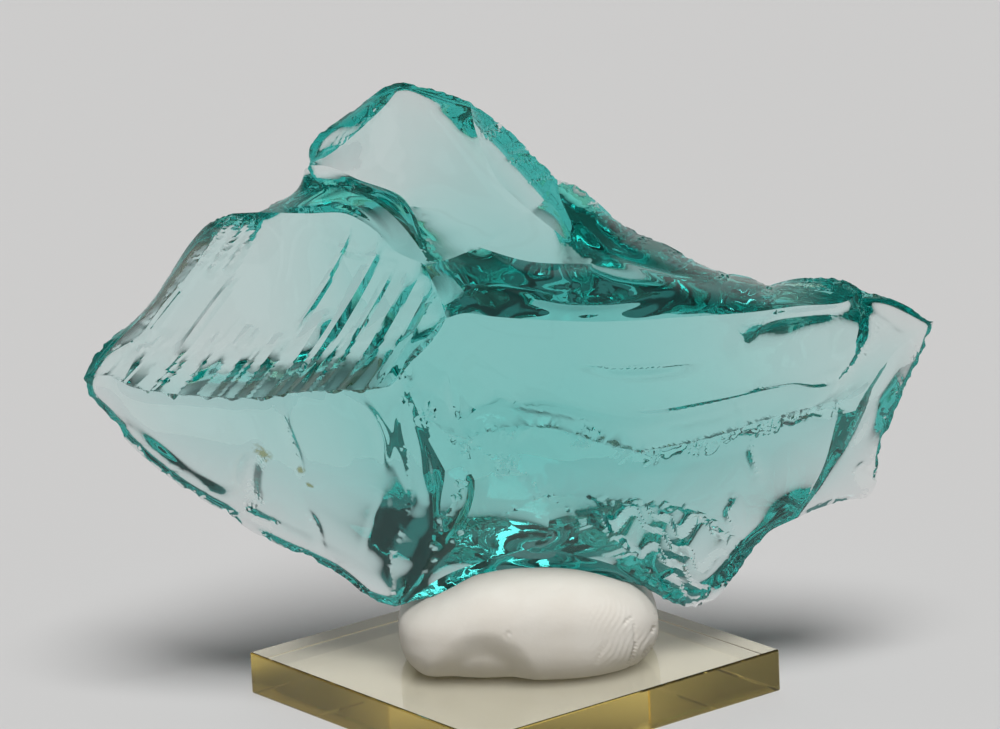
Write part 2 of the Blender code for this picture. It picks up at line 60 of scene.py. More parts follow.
# Where the edges meet.
JOINTS = {
    "left_tip": (-34.8, 2.4, 0.0),
    "shoulder": (-22.4, 16.1, 1.5),
    "ledge_end": (-20.3, 16.2, 1.2),
    "knee": (-16.3, 20.1, 3.2),
    "peak": (-8.2, 27.0, 4.6),
    "peak_right": (-2.7, 25.4, 5.2),
    "notch": (4.6, 18.9, 5.6),
    "saddle": (22.1, 10.1, 3.6),
    "top_bend": (29.9, 9.7, 1.2),
    "right_tip": (35.9, 7.1, 0.5),
    "right_foot": (24.6, -9.2, -0.2),
    "right_corner": (21.2, -11.6, -0.8),
    "bottom_right": (13.6, -16.1, -2.8),
    "bottom_left": (-8.9, -16.6, -2.6),
    "arc_foot": (-6.5, 11.9, -5.0),
    "arc_fork": (-2.0, 13.3, -2.3),
    "arc_shoulder": (2.5, 16.2, 1.2),
    "wedge_point": (7.3, 11.9, -0.4),
    "hub": (-4.6, 7.4, -10.0),
    "left_hub": (-8.6, 2.7, -9.2),
    "low_hub": (-3.2, -2.8, -10.5),
    "low_fork": (3.4, -7.3, -8.6),
    "lip_left": (-6.0, -12.9, -5.0),
    "right_ridge": (28.2, 0.5, -4.2),
    "back_left": (-2.6, -1.0, 11.0),
    "back_middle": (4.0, 0.0, 12.0),
    "back_right": (27.6, 1.5, 4.6),
    "under_back": (2.6, -9.0, 4.5),
}

# Each edge: the joint it starts at, the points on its way, the joint it ends at.
EDGES = {
    "left_rim": (
        "left_tip", (-33.5, 4.9, 0.6), (-30.9, 7.0, 1.2), (-29.4, 8.5, 1.4), (-27.8, 10.8, 1.8),
        (-25.8, 13.8, 2.2), (-24.1, 15.5, 2.2), "shoulder",
    ),
    "left_inner": (
        "left_tip", (-32.6, 4.4, -1.2), (-30.1, 6.0, -1.9), (-28.2, 8.5, -1.9), (-26.0, 11.1, -1.6),
        (-23.9, 14.1, -0.6), "shoulder",
    ),
    "shoulder_rim": ("shoulder", "ledge_end"),
    "knee_rim": ("ledge_end", (-18.9, 17.0, 3.0), (-17.1, 17.9, 4.0), "knee"),
    "peak_left_rim": (
        "knee", (-15.7, 22.2, 3.6), (-13.5, 23.9, 4.0), (-11.3, 25.5, 4.4), (-9.4, 26.8, 4.6),
        "peak",
    ),
    "peak_inner": (
        "knee", (-14.5, 20.9, 0.8), (-12.7, 22.3, 0.8), (-10.8, 24.0, 1.2), (-9.7, 25.1, 2.0), "peak",
    ),
    "peak_top_rim": ("peak", (-5.5, 26.4, 4.9), "peak_right"),
    "peak_right_rim": (
        "peak_right", (0.6, 23.0, 5.6), (2.4, 21.2, 5.8), (4.0, 19.6, 5.8), "notch",
    ),
    "peak_right_inner": (
        "peak_right", (-2.0, 22.4, 1.4), (-0.4, 19.0, 0.2), (1.2, 17.3, 0.4), "arc_shoulder",
    ),
    "slope_rim": (
        "notch", (6.3, 18.4, 6.2), (8.2, 16.8, 6.6), (9.9, 15.3, 6.6), (13.7, 13.5, 6.0),
        (17.5, 11.5, 5.0), (20.9, 10.7, 4.0), "saddle",
    ),
    "saddle_rim": ("saddle", (24.7, 10.7, 3.0), (28.5, 10.6, 2.0), "top_bend"),
    "tip_rim": ("top_bend", (31.8, 9.2, 1.2), (33.5, 8.5, 1.0), "right_tip"),
    "right_rim": (
        "right_tip", (35.1, 4.7, 0.6), (34.1, 2.7, 0.6), (32.7, -0.4, 0.6), (31.6, -3.6, 0.6),
        (31.1, -6.4, 0.4), (30.4, -7.5, 0.4), (28.9, -7.7, 0.3), (26.4, -8.4, 0.1), "right_foot",
    ),
    "foot_rim": ("right_foot", (22.2, -10.4, -0.5), "right_corner"),
    "low_right_rim": (
        "right_corner", (20.2, -13.0, -1.2), (18.9, -14.6, -1.6), (17.8, -15.9, -2.0),
        (16.4, -16.6, -2.4), (15.2, -16.6, -2.6), "bottom_right",
    ),
    "low_left_rim": (
        "bottom_left", (-11.0, -15.9, -2.0), (-13.1, -14.2, -1.5), (-15.4, -12.9, -1.0),
        (-18.1, -11.7, -0.5), (-21.2, -10.1, 0.0), (-23.1, -8.7, 0.2), (-24.8, -7.8, 0.3),
        (-27.3, -6.2, 0.5), (-29.3, -4.6, 0.6), (-31.4, -2.6, 0.6), (-32.9, -0.5, 0.5),
        (-34.3, 0.9, 0.4), "left_tip",
    ),
    "scar_top": (
        "ledge_end", (-16.2, 16.1, -1.4), (-13.1, 16.1, -2.8), (-11.4, 15.3, -3.9), (-10.0, 14.2, -4.8),
        (-8.9, 13.0, -5.4), "arc_foot",
    ),
    "ledge_top": (
        "knee", (-14.4, 20.0, 3.0), (-11.9, 18.9, 2.8), (-8.5, 17.6, 2.0), (-7.3, 16.0, 0.0),
        (-6.6, 14.0, -2.6), "arc_foot",
    ),
    "arc_low": ("arc_foot", (-4.4, 12.3, -3.7), "arc_fork"),
    "arc_middle": ("arc_fork", (-0.2, 14.3, -1.4), "arc_shoulder"),
    "arc_high": ("arc_shoulder", (3.5, 17.2, 3.8), "notch"),
    "wedge_low": ("arc_fork", (2.3, 12.1, -1.6), "wedge_point"),
    "wedge_right": ("arc_shoulder", (5.2, 14.0, 0.4), "wedge_point"),
    "scar_right": ("arc_foot", (-5.4, 9.6, -8.4), "hub"),
    "scar_foot": (
        "left_tip", (-32.6, 2.6, -1.6), (-30.9, 1.7, -2.8), (-28.2, 1.2, -4.0), (-23.3, 0.8, -5.6),
        (-20.3, 0.8, -6.4), (-17.1, 1.2, -7.4), (-14.4, 1.4, -8.2), (-9.7, 1.7, -9.4), "left_hub",
    ),
    "hub_ridge": ("hub", (-6.4, 5.6, -10.0), (-7.7, 4.3, -9.7), "left_hub"),
    "scoop_top": (
        "hub", (-3.1, 7.8, -10.0), (-0.5, 7.5, -9.8), (2.4, 7.3, -9.4), (7.3, 7.1, -8.5),
        (10.9, 7.2, -7.5), (15.4, 7.5, -6.0), (20.9, 7.9, -3.8), (24.7, 8.4, -2.4), (28.4, 8.7, -1.0),
        "top_bend",
    ),
    "scoop_foot": (
        "right_ridge", (24.9, -0.2, -5.0), (21.7, -1.1, -5.6), (18.6, -2.2, -6.6), (15.4, -3.0, -7.6),
        (11.4, -3.6, -8.8), (7.9, -2.9, -9.6), (4.8, -1.9, -10.2), (0.6, -1.6, -10.6), "low_hub",
    ),
    "right_band_edge": (
        "right_tip", (33.0, 4.9, -1.3), (31.5, 3.1, -2.6), (29.8, 1.6, -3.7), "right_ridge",
    ),
    "right_crease": ("right_ridge", (26.8, -4.8, -2.6), (25.6, -7.2, -1.6), "right_foot"),
    "sparkle_top": ("left_hub", (-7.2, 0.6, -9.7), (-5.2, -1.7, -10.3), "low_hub"),
    "sparkle_low": ("low_hub", (-1.9, -3.6, -10.3), (0.6, -5.2, -9.6), (2.5, -6.2, -9.0), "low_fork"),
    "pale_line": (
        "left_hub", (-8.4, -1.6, -9.2), (-7.6, -5.6, -7.8), (-8.2, -9.6, -5.8), (-9.3, -13.2, -4.2),
        "bottom_left",
    ),
    "flake_edge": (
        "low_hub", (-3.0, -5.7, -9.2), (-4.0, -7.7, -8.2), (-5.2, -10.2, -6.4), "lip_left",
    ),
    "lip_top": (
        "lip_left", (-4.0, -11.1, -6.0), (-1.9, -9.7, -6.8), (0.9, -8.7, -7.6), "low_fork",
    ),
    "lip_end": ("bottom_left", (-7.4, -14.9, -4.0), "lip_left"),
    "low_ridge": (
        "low_fork", (8.0, -7.7, -8.0), (11.0, -7.9, -7.0), (15.9, -8.6, -5.0), (19.4, -11.0, -2.0),
        "right_corner",
    ),
    "lip_right": ("low_fork", (8.1, -10.2, -6.6), (11.4, -12.7, -4.8), "bottom_right"),
    "arch_front": (
        "bottom_left", (-6.0, -15.8, -3.4), (-4.0, -15.2, -3.7), (-1.9, -14.4, -3.9), (1.4, -13.9, -4.0),
        (4.8, -13.8, -4.0), (8.1, -14.1, -3.9), (11.4, -14.8, -3.5), "bottom_right",
    ),
    "arch_back_left": ("bottom_left", (-4.5, -12.2, 2.2), "under_back"),
    "arch_back_right": ("under_back", (9.0, -11.0, 3.0), "bottom_right"),
    "back_knee": ("knee", (-12.2, 14.0, 6.0), (-6.8, 6.0, 8.8), "back_left"),
    "back_keel": ("back_left", (-3.0, -5.0, 8.2), (-5.4, -10.6, 3.2), "bottom_left"),
    "back_spine": ("back_left", (0.0, 0.0, 11.7), "back_middle"),
    "back_notch": ("notch", (4.4, 10.0, 9.2), "back_middle"),
    "back_ridge": ("back_middle", (12.0, 1.0, 10.2), (20.0, 1.6, 7.8), "back_right"),
    "back_bend": ("top_bend", (29.2, 6.5, 3.2), "back_right"),
    "back_corner": ("back_right", (26.6, -3.0, 3.0), "right_foot"),
    "back_low": ("back_middle", (3.8, -6.0, 8.6), "under_back"),
}

# Each face: the edges round it, and the radius of its hollow (negative where it bulges).
FACES = {
    "left_scar": (
        ("left_inner", "shoulder_rim", "scar_top", "scar_right", "hub_ridge", "scar_foot"), 45.0,
    ),
    "left_band": (("left_rim", "left_inner"), -20.0),
    "low_left": (("scar_foot", "pale_line", "low_left_rim"), 90.0),
    "ledge": (("knee_rim", "ledge_top", "scar_top"), 0.0),
    "peak_front": (
        ("ledge_top", "arc_low", "arc_middle", "peak_right_inner", "peak_top_rim", "peak_inner"), 45.0,
    ),
    "peak_band": (("peak_left_rim", "peak_inner"), -20.0),
    "peak_side": (("peak_right_rim", "arc_high", "peak_right_inner"), 60.0),
    "wedge": (("arc_middle", "wedge_right", "wedge_low"), 80.0),
    "slope": (
        (
            "slope_rim", "saddle_rim", "scoop_top", "scar_right", "arc_low", "wedge_low", "wedge_right",
            "arc_high",
        ),
        -65.0,
    ),
    "scoop": (
        ("scoop_top", "tip_rim", "right_band_edge", "scoop_foot", "sparkle_top", "hub_ridge"), 32.0,
    ),
    "right_band": (("right_rim", "right_crease", "right_band_edge"), 60.0),
    "low_middle": (("scoop_foot", "right_crease", "foot_rim", "low_ridge", "sparkle_low"), 80.0),
    "flake": (("sparkle_top", "flake_edge", "lip_end", "pale_line"), 40.0),
    "triangle": (("sparkle_low", "lip_top", "flake_edge"), 60.0),
    "lip": (("lip_top", "lip_right", "arch_front", "lip_end"), 40.0),
    "low_right": (("low_ridge", "low_right_rim", "lip_right"), -60.0),
    "underside": (("arch_front", "arch_back_right", "arch_back_left"), 0.0),
    "back_left_face": (
        ("left_rim", "shoulder_rim", "knee_rim", "back_knee", "back_keel", "low_left_rim"), 200.0,
    ),
    "back_peak_face": (
        ("peak_left_rim", "peak_top_rim", "peak_right_rim", "back_notch", "back_spine", "back_knee"),
        60.0,
    ),
    "back_slope_face": (("slope_rim", "saddle_rim", "back_bend", "back_ridge", "back_notch"), -90.0),
    "back_right_face": (("tip_rim", "right_rim", "back_corner", "back_bend"), -60.0),
    "back_low_right": (
        ("back_ridge", "back_corner", "foot_rim", "low_right_rim", "arch_back_right", "back_low"),
        -90.0,
    ),
    "back_low_left": (("back_spine", "back_low", "arch_back_left", "back_keel"), -50.0),
}

# Where a face bends beside an edge: the edge, the distance from it, and the radius of the bend
# (negative where the face rounds off to the edge).
BENDS = {
    "left_scar": (("scar_foot", 3.9, 2.6),),
    "scoop": (("scoop_foot", 1.6, 1.3),),
    "back_left_face": (
        ("left_rim", 1.5, -2.5), ("shoulder_rim", 1.2, -3.0), ("knee_rim", 1.5, -3.0),
        ("low_left_rim", 0.9, -2.0),
    ),
    "back_right_face": (("tip_rim", 0.8, -2.5), ("right_rim", 0.6, -1.8)),
    "back_low_right": (("low_right_rim", 2.5, -5.0),),
    "back_peak_face": (
        ("peak_left_rim", 1.2, -3.0), ("peak_top_rim", 1.0, -3.0), ("peak_right_rim", 4.0, -5.5),
    ),
}

# How far apart the mesh's points are. The underside and two nearly plain faces of the back get a
# coarser mesh than the rest.
FINE_SPACING = 0.222
PLAIN_SPACING = 0.4
PLAIN_FACES = ("underside", "back_peak_face", "back_low_left")

# The hackles of the left scar fan from a far point: their top, that point's place across, how far
# it shifts for each millimetre down, and how fast they spread going down.
HACKLE_TOP = 16.1
FAN_CENTRE = 225.3
FAN_LEAN = 2.5
FAN_SPREAD = 0.012
# How much steeper one side of a hackle is than the other.
HACKLE_STEEPNESS = 1.6
# Each main hackle: its place across, where it starts and ends going down, and its width and depth.
# Its steep side is on the left, or on the right where the width is negative.
MAIN_HACKLES = (
    (-22.6, 0.0, 4.6, -0.35, 0.45),
    (-21.4, 0.0, 5.2, -0.50, 0.75),
    (-20.2, 0.0, 4.8, 0.65, 0.85),
    (-22.6, 6.2, 9.8, -0.35, 0.45),
    (-19.3, 4.4, 14.8, -0.60, 0.85),
    (-24.6, 9.6, 15.6, -0.80, 0.90),
    (-22.0, 10.6, 15.6, -0.90, 1.00),
    (-17.4, 11.2, 15.8, -0.90, 1.00),
    (-14.8, 10.8, 15.8, 1.10, 1.10),
    (-13.0, 9.6, 15.8, 1.10, 1.00),
    (-12.2, 0.4, 9.6, 0.42, 0.42),
    (-10.9, 7.6, 15.8, 1.40, 1.15),
    (-9.6, 1.0, 15.8, 0.85, 0.75),
    (-7.6, 3.8, 13.0, 0.50, 0.42),
    (-6.3, 3.8, 15.8, 1.35, 1.05),
    (-4.5, 5.0, 15.8, 1.45, 1.05),
    (-2.6, 6.6, 15.6, 1.40, 0.90),
    (-0.9, 7.4, 15.2, 1.10, 0.70),
)
SMALL_HACKLES = 36
SMALL_HACKLE_SEED = 7
# The comb of short steps at the scar's foot: the distance between them, their depth, how far
# down they start and are full, and the share of a step that is its steep side.
COMB = (1.0, 0.26, 10.2, 12.4, 0.28)
# Rings of a fracture: the face, the ring's centre, the distance between rings and their height.
RIPPLES = (
    ("scoop", (14.0, 40.0), 2.6, 0.012),
    ("low_middle", (2.0, 6.0), 3.1, 0.010),
    ("low_left", (-8.0, 6.0), 2.4, 0.012),
    ("slope", (-6.0, 20.0), 3.4, 0.012),
    ("peak_front", (-8.0, 32.0), 2.0, 0.012),
    ("back_left_face", (-4.0, 4.0), 3.3, 0.012),
    ("back_peak_face", (4.0, 26.0), 3.0, 0.012),
    ("back_slope_face", (30.0, 20.0), 3.2, 0.008),
)
# Broad swells of a face: the face, the middle and the half sizes as seen, the height, and how
# far from the face's border it is full.
SWELLS = (
    ("back_left_face", (-17.0, -4.0), (12.0, 5.5), 1.8, 3.0),
    ("back_left_face", (-26.0, -1.0), (6.0, 3.0), 0.9, 3.0),
    ("back_peak_face", (1.6, 14.6), (4.5, 4.6), 0.6, 1.0),
    ("ledge", (-12.8, 16.0), (3.4, 2.4), 0.6, 0.8),
)
# The arc across the peak's foot up to the notch, where its two front faces share a furrow.
PEAK_ARC = ((-2.7, 13.1), (-0.2, 14.3), (2.3, 16.0), (3.5, 17.2), (4.9, 18.9))
# Furrows: the face, the path, the width and the depth.
GROOVES = (
    ("scoop", ((7.3, 3.5), (9.8, 3.1), (13.5, 3.3), (15.6, 3.7)), 0.35, 0.30),
    ("scoop", ((-1.5, 1.6), (0.9, 0.4), (4.8, -0.4), (8.1, -1.2)), 0.32, 0.28),
    ("scoop", ((-3.6, 6.0), (-1.0, 3.6), (2.4, 1.9), (5.0, 1.3)), 0.40, 0.10),
    ("scoop", ((30.6, 5.4), (29.4, 3.6), (27.2, 1.8), (24.6, 0.2), (21.7, -1.1)), 0.90, 1.20),
    ("scoop", ((9.5, -2.5), (13.5, -3.3), (17.5, -3.0), (21.7, -1.4), (25.0, -0.2)), 0.80, 0.90),
    ("scoop", ((20.4, 5.8), (22.6, 7.0), (26.0, 7.6), (29.2, 8.2)), 0.70, 0.45),
    ("scoop", ((-4.4, 2.9), (-4.2, 1.0), (-3.5, -1.7)), 0.30, 0.25),
    ("scoop", ((31.6, 7.9), (33.4, 6.6), (34.3, 6.9)), 0.40, 0.20),
    ("low_middle", ((20.7, -3.2), (21.0, -4.4), (21.4, -5.7)), 0.40, 0.40),
    ("low_middle", ((19.3, -8.0), (18.9, -9.0), (19.4, -10.2)), 0.35, 0.30),
    ("low_middle", ((3.0, -4.0), (7.0, -5.2), (12.0, -5.6), (17.0, -5.2)), 0.50, 0.05),
    ("low_left", ((-20.4, -3.9), (-21.2, -5.6), (-21.3, -7.2), (-20.6, -8.6)), 1.00, 1.45),
    ("low_left", ((-21.9, -8.6), (-20.6, -9.4), (-18.4, -9.8)), 0.45, 0.45),
    ("low_left", ((-18.3, 0.2), (-17.9, -2.0), (-17.0, -4.6), (-16.5, -6.1)), 0.45, 0.52),
    ("low_left", ((-12.6, 0.8), (-11.0, -0.6), (-10.0, -2.6), (-9.8, -5.0)), 0.45, 0.30),
    ("low_left", ((-16.4, -8.4), (-15.4, -10.2), (-14.9, -12.2)), 0.35, 0.25),
    ("low_left", ((-11.6, -12.4), (-10.8, -10.0), (-9.9, -7.2)), 0.35, 0.15),
    (
        "left_scar",
        ((-16.2, 15.6), (-15.4, 14.6), (-14.2, 13.5), (-12.6, 12.8), (-9.8, 12.0), (-7.6, 11.6)),
        0.28, 0.22,
    ),
    ("peak_front", PEAK_ARC, 0.28, 0.22),
    ("peak_side", PEAK_ARC, 0.28, 0.22),
    ("right_band", ((31.0, 1.0), (30.0, -1.6), (28.4, -4.0)), 0.45, 0.35),
    ("right_band", ((29.3, -5.6), (30.4, -4.9), (30.8, -5.8)), 0.40, 0.35),
    ("slope", ((-4.0, 9.4), (-0.5, 10.4), (4.0, 9.6), (9.0, 9.8)), 0.70, 0.18),
    ("slope", ((6.0, 15.6), (9.0, 13.2), (13.5, 11.4), (19.0, 10.0)), 0.60, 0.20),
    ("slope", ((2.0, 9.0), (7.0, 8.6), (13.0, 9.2)), 0.50, 0.15),
    ("back_right_face", ((31.6, 7.0), (29.8, 4.2), (28.6, 2.4), (27.0, -1.0)), 1.00, 0.90),
    ("back_low_right", ((11.5, 0.9), (15.1, 0.9), (18.0, 1.0), (21.0, 0.9), (24.0, 1.2)), 0.90, 0.50),
    ("back_slope_face", ((20.0, 1.7), (23.9, 2.3), (26.8, 3.2)), 0.90, 0.70),
    ("back_slope_face", ((18.4, 7.0), (20.7, 8.2), (23.9, 8.4), (27.6, 8.6)), 1.10, 0.60),
    ("back_slope_face", ((4.6, 6.8), (8.2, 5.5), (11.9, 5.2), (15.4, 5.8)), 0.65, 0.55),
    ("back_peak_face", ((-5.4, 5.6), (-5.5, 4.7), (-5.8, 3.0)), 0.50, 0.28),
    ("back_left_face", ((-6.0, 3.2), (-5.9, 2.0), (-5.2, -1.0), (-4.4, -4.0)), 0.50, 0.28),
    ("back_left_face", ((-17.5, 4.4), (-17.3, 3.4), (-16.5, -0.6), (-15.8, -4.5)), 0.45, 0.45),
    ("back_low_right", ((18.7, 0.2), (19.1, -0.6), (19.7, -2.0), (20.3, -3.8)), 0.60, 0.26),
    ("back_low_right", ((17.9, -5.6), (18.1, -6.5), (18.7, -9.4)), 0.50, 0.24),
)
# Patches of long uneven steps that all run one way: the face, the middle and the half sizes as
# seen, the way they run in degrees from the right, the distance between steps and their depth.
SHARDS = (
    ("low_right", (13.8, -11.4), (8.0, 5.0), -24.0, 1.9, 0.80),
)
# Fringes of short steps beside an edge: the face, the edge, the fringe's width, the distance
# between steps, how deep they cut (negative where they stand out) and their lean along the edge.
FRINGES = (
    ("peak_front", "ledge_top", 1.8, 0.55, 0.14, -0.8),
    ("peak_front", "peak_inner", 1.4, 0.60, 0.12, 0.6),
    ("peak_side", "peak_right_rim", 3.0, 0.55, 0.30, 0.5),
    ("peak_front", "peak_top_rim", 1.8, 0.45, 0.12, 0.9),
    ("left_scar", "left_inner", 1.2, 0.50, 0.12, -1.2),
    ("left_band", "left_inner", 1.0, 0.60, 0.15, 0.4),
    ("peak_band", "peak_inner", 1.0, 0.60, 0.15, 0.4),
    ("slope", "slope_rim", 1.6, 0.70, 0.16, 0.6),
    ("slope", "saddle_rim", 1.0, 0.60, 0.14, 0.6),
    ("scoop", "scoop_foot", 1.1, 0.75, 0.60, 0.8),
    ("low_middle", "scoop_foot", 1.5, 0.95, -0.45, -0.5),
    ("low_middle", "sparkle_low", 1.3, 0.70, 0.45, 0.8),
    ("scoop", "sparkle_top", 1.2, 0.70, 0.45, 0.8),
    ("flake", "sparkle_top", 1.2, 0.60, 0.40, -0.8),
    ("triangle", "sparkle_low", 1.2, 0.60, 0.45, -0.8),
    ("low_right", "low_ridge", 1.2, 0.80, 0.20, -1.2),
    ("low_right", "low_right_rim", 1.6, 0.60, 0.25, 0.9),
    ("lip", "lip_right", 1.6, 0.70, 0.22, 0.8),
    ("lip", "arch_front", 0.8, 0.60, 0.12, 0.5),
    ("low_left", "low_left_rim", 1.2, 0.55, 0.18, 0.8),
    ("low_middle", "foot_rim", 1.0, 0.50, 0.15, 0.8),
    ("right_band", "right_rim", 1.2, 0.55, 0.20, 0.7),
)
CHIP_SEED = 11
# Edges that are chipped: the distance between chips, and the smallest and largest bite.
CHIPPED_EDGES = {
    "left_rim": (0.9, 0.03, 0.14),
    "left_inner": (1.2, 0.03, 0.08),
    "knee_rim": (0.9, 0.03, 0.11),
    "peak_left_rim": (0.9, 0.03, 0.17),
    "peak_inner": (1.2, 0.03, 0.08),
    "peak_top_rim": (0.8, 0.03, 0.11),
    "peak_right_rim": (0.8, 0.03, 0.11),
    "slope_rim": (0.8, 0.03, 0.12),
    "saddle_rim": (0.8, 0.03, 0.11),
    "tip_rim": (0.8, 0.03, 0.11),
    "right_rim": (0.8, 0.03, 0.17),
    "low_right_rim": (0.8, 0.03, 0.14),
    "low_left_rim": (0.9, 0.03, 0.14),
    "arch_front": (1.0, 0.03, 0.08),
    "sparkle_top": (0.6, 0.03, 0.12),
    "sparkle_low": (0.5, 0.03, 0.12),
    "scoop_foot": (0.9, 0.02, 0.08),
    "low_ridge": (0.6, 0.03, 0.11),
    "lip_right": (0.7, 0.03, 0.11),
    "lip_top": (1.0, 0.02, 0.07),
    "flake_edge": (0.7, 0.03, 0.11),
    "pale_line": (1.0, 0.02, 0.07),
    "arc_low": (1.0, 0.01, 0.06),
    "arc_middle": (1.0, 0.01, 0.06),
    "arc_high": (0.8, 0.02, 0.08),
    "scar_foot": (1.1, 0.01, 0.06),
}

# Small brown stains on the front: the drawn place, and the reach.
STAINS = (
    ((-19.9, -3.9, -3.1), 1.3),
    ((-16.7, -5.2, -3.5), 0.6),
    ((-16.0, -6.5, -3.5), 0.5),
)

# The base plate and the putty, in millimetres as in the solids.
BASE_THICKNESS = 3.65
PUTTY_LEFT = -9.5
PUTTY_RIGHT = 12.3
PUTTY_FRONT = -9.2
PUTTY_BACK = 7.6
PUTTY_WAIST = 0.45
PUTTY_FOOT_SINK = 1.6
PUTTY_SQUARENESS = 0.75
PUTTY_END_POWER = 2.8
# The fine putty: how many sections and sides, the gap at the plate and under the crystal, how
# high it is squeezed up beside the crystal's foot, how far round each point the crystal presses
# it, and how high its own foot is, which isn't pressed.
PUTTY_SECTIONS = 210
PUTTY_SIDES = 270
PUTTY_GAP = 0.03
PUTTY_PRESS_GAP = 0.06
PUTTY_SQUEEZE = 0.9
PRESS_REACH = 0.15
PUTTY_FOOT = 1.0
# The lumps of its skin: the distance between lumps in millimetres, and their height.
PUTTY_LUMPS = ((5.5, 0.16), (2.6, 0.05), (1.1, 0.015))
# The finger's ridges: their centre as seen, the distance between them, and their height.
FINGER_CENTRE = (1.7, -15.1)
FINGER_PITCH = 0.45
FINGER_HEIGHT = 0.022
# The patches that carry the ridges: the middle and the half sizes, as seen.
FINGER_PATCHES = (((9.0, -18.6), (2.8, 3.4)), ((11.2, -20.3), (1.8, 2.6)))
# The hollow low on the left of the front: its middle and half sizes as seen, and its depth.
PUTTY_HOLLOW = ((-1.6, -23.8), (4.6, 4.9), 0.8)
# Creases and nicks of the putty's front: the path as seen, the width and the depth.
PUTTY_CREASES = (
    (((10.9, -17.6), (11.1, -19.0), (11.0, -20.4), (10.4, -22.2)), 0.16, 0.22),
    (((0.2, -19.4), (0.5, -18.9), (0.7, -18.5)), 0.13, 0.20),
    (((10.1, -18.2), (10.5, -17.7), (10.9, -17.4)), 0.13, 0.18),
    (((12.6, -16.4), (12.8, -16.9), (12.9, -17.5)), 0.14, 0.22),
    (((12.3, -18.9), (12.6, -18.5), (12.7, -18.0)), 0.14, 0.22),
    (((4.2, -15.4), (4.6, -15.1), (5.0, -15.2)), 0.22, 0.10),
    (((11.6, -20.9), (12.2, -20.2), (12.6, -19.8)), 0.14, 0.16),
    (((7.8, -21.5), (8.2, -20.4), (8.9, -19.4)), 0.14, 0.08),
)

# --- materials ---

WHITE = (1.0, 1.0, 1.0, 1.0)
STAIN_COLOUR = (0.38, 0.28, 0.10, 1.0)
# The colours that are least absorbed inside the glass and the acrylic, and how strongly the
# others are, per metre.
GLASS_TINT = (0.04, 0.83, 0.80, 1.0)
ACRYLIC_TINT = (0.97, 0.855, 0.30, 1.0)
TINT_DENSITY = 64.0


def new_material(name):
    """A new material, its node tree and its shader."""
    material = bpy.data.materials.new(name)
    material.use_nodes = True
    return material, material.node_tree, material.node_tree.nodes["Principled BSDF"]


def feed(tree, node, sockets):
    """Give each socket named a value of its own, or link another node's output to it."""
    for name, value in sockets.items():
        if isinstance(value, bpy.types.NodeSocket):
            tree.links.new(value, node.inputs[name])
        else:
            node.inputs[name].default_value = value


def add_node(tree, kind, sockets, **settings):
    """A new node with its settings made and its sockets fed."""
    node = tree.nodes.new("ShaderNode" + kind)
    for name, value in settings.items():
        setattr(node, name, value)
    feed(tree, node, sockets)
    return node


def noise_of_place(tree, scale, detail):
    """A noise through the object, by its own coordinates in millimetres over scale."""
    where = add_node(tree, "TexCoord", {}).outputs["Object"]
    sockets = {"Vector": where, "Scale": 1.0 / (scale * MM), "Detail": detail}
    return add_node(tree, "TexNoise", sockets).outputs["Fac"]


def two_colours(tree, factor, first, second):
    """A mix of two colours by a factor."""
    sockets = {"Factor": factor, "A": first, "B": second}
    return add_node(tree, "Mix", sockets, data_type="RGBA").outputs["Result"]


def between(tree, value, low, high, new_low, new_high):
    """A value carried from one range to another, and held inside it."""
    sockets = {"Value": value, "From Min": low, "From Max": high, "To Min": new_low, "To Max": new_high}
    return add_node(tree, "MapRange", sockets).outputs["Result"]


def combine(tree, operation, *values):
    """One step of arithmetic over numbers and other nodes' values."""
    return add_node(tree, "Math", dict(enumerate(values)), operation=operation).outputs["Value"]


def add_absorption(tree, tint):
    """A tint of the light that passes inside."""
    volume = add_node(tree, "VolumeAbsorption", {"Color": tint, "Density": TINT_DENSITY})
    feed(tree, tree.nodes["Material Output"], {"Volume": volume.outputs["Volume"]})


def stain_mask(tree, place, reach):
    """One inside a small uneven spot round a drawn place, and nothing outside it."""
    where = add_node(tree, "TexCoord", {}).outputs["Object"]
    away = add_node(tree, "VectorMath", {0: where, 1: placed(place) * MM}, operation="DISTANCE")
    speckle = noise_of_place(tree, 0.5, 4.0)
    reach *= MM
    uneven = combine(tree, "MULTIPLY_ADD", speckle, 1.6 * reach, away.outputs["Value"])
    return between(tree, uneven, 1.1 * reach, 1.5 * reach, 1.0, 0.0)


def glass_material():
    """Clear teal glass, faintly uneven, with a few small brown stains."""
    material, tree, shader = new_material("teal_glass")
    colour = two_colours(tree, noise_of_place(tree, 6.0, 2.0), WHITE, (0.97, 0.99, 0.985, 1.0))
    stained, *others = [stain_mask(tree, place, reach) for place, reach in STAINS]
    for mask in others:
        stained = combine(tree, "MAXIMUM", stained, mask)
    feed(tree, shader, {
        "Transmission Weight": 1.0,
        "IOR": 1.5,
        "Base Color": two_colours(tree, stained, colour, STAIN_COLOUR),
        "Roughness": between(tree, stained, 0.0, 1.0, 0.0, 0.3),
    })
    add_absorption(tree, GLASS_TINT)
    return material


def acrylic_material():
    """Clear pale yellow acrylic, rubbed a little dull."""
    material, tree, shader = new_material("yellow_acrylic")
    wear = noise_of_place(tree, 3.0, 6.0)
    feed(tree, shader, {
        "Transmission Weight": 1.0,
        "IOR": 1.49,
        "Base Color": two_colours(tree, wear, WHITE, (0.98, 0.97, 0.93, 1.0)),
        "Roughness": between(tree, wear, 0.4, 0.7, 0.02, 0.10),
    })
    add_absorption(tree, ACRYLIC_TINT)
    return material


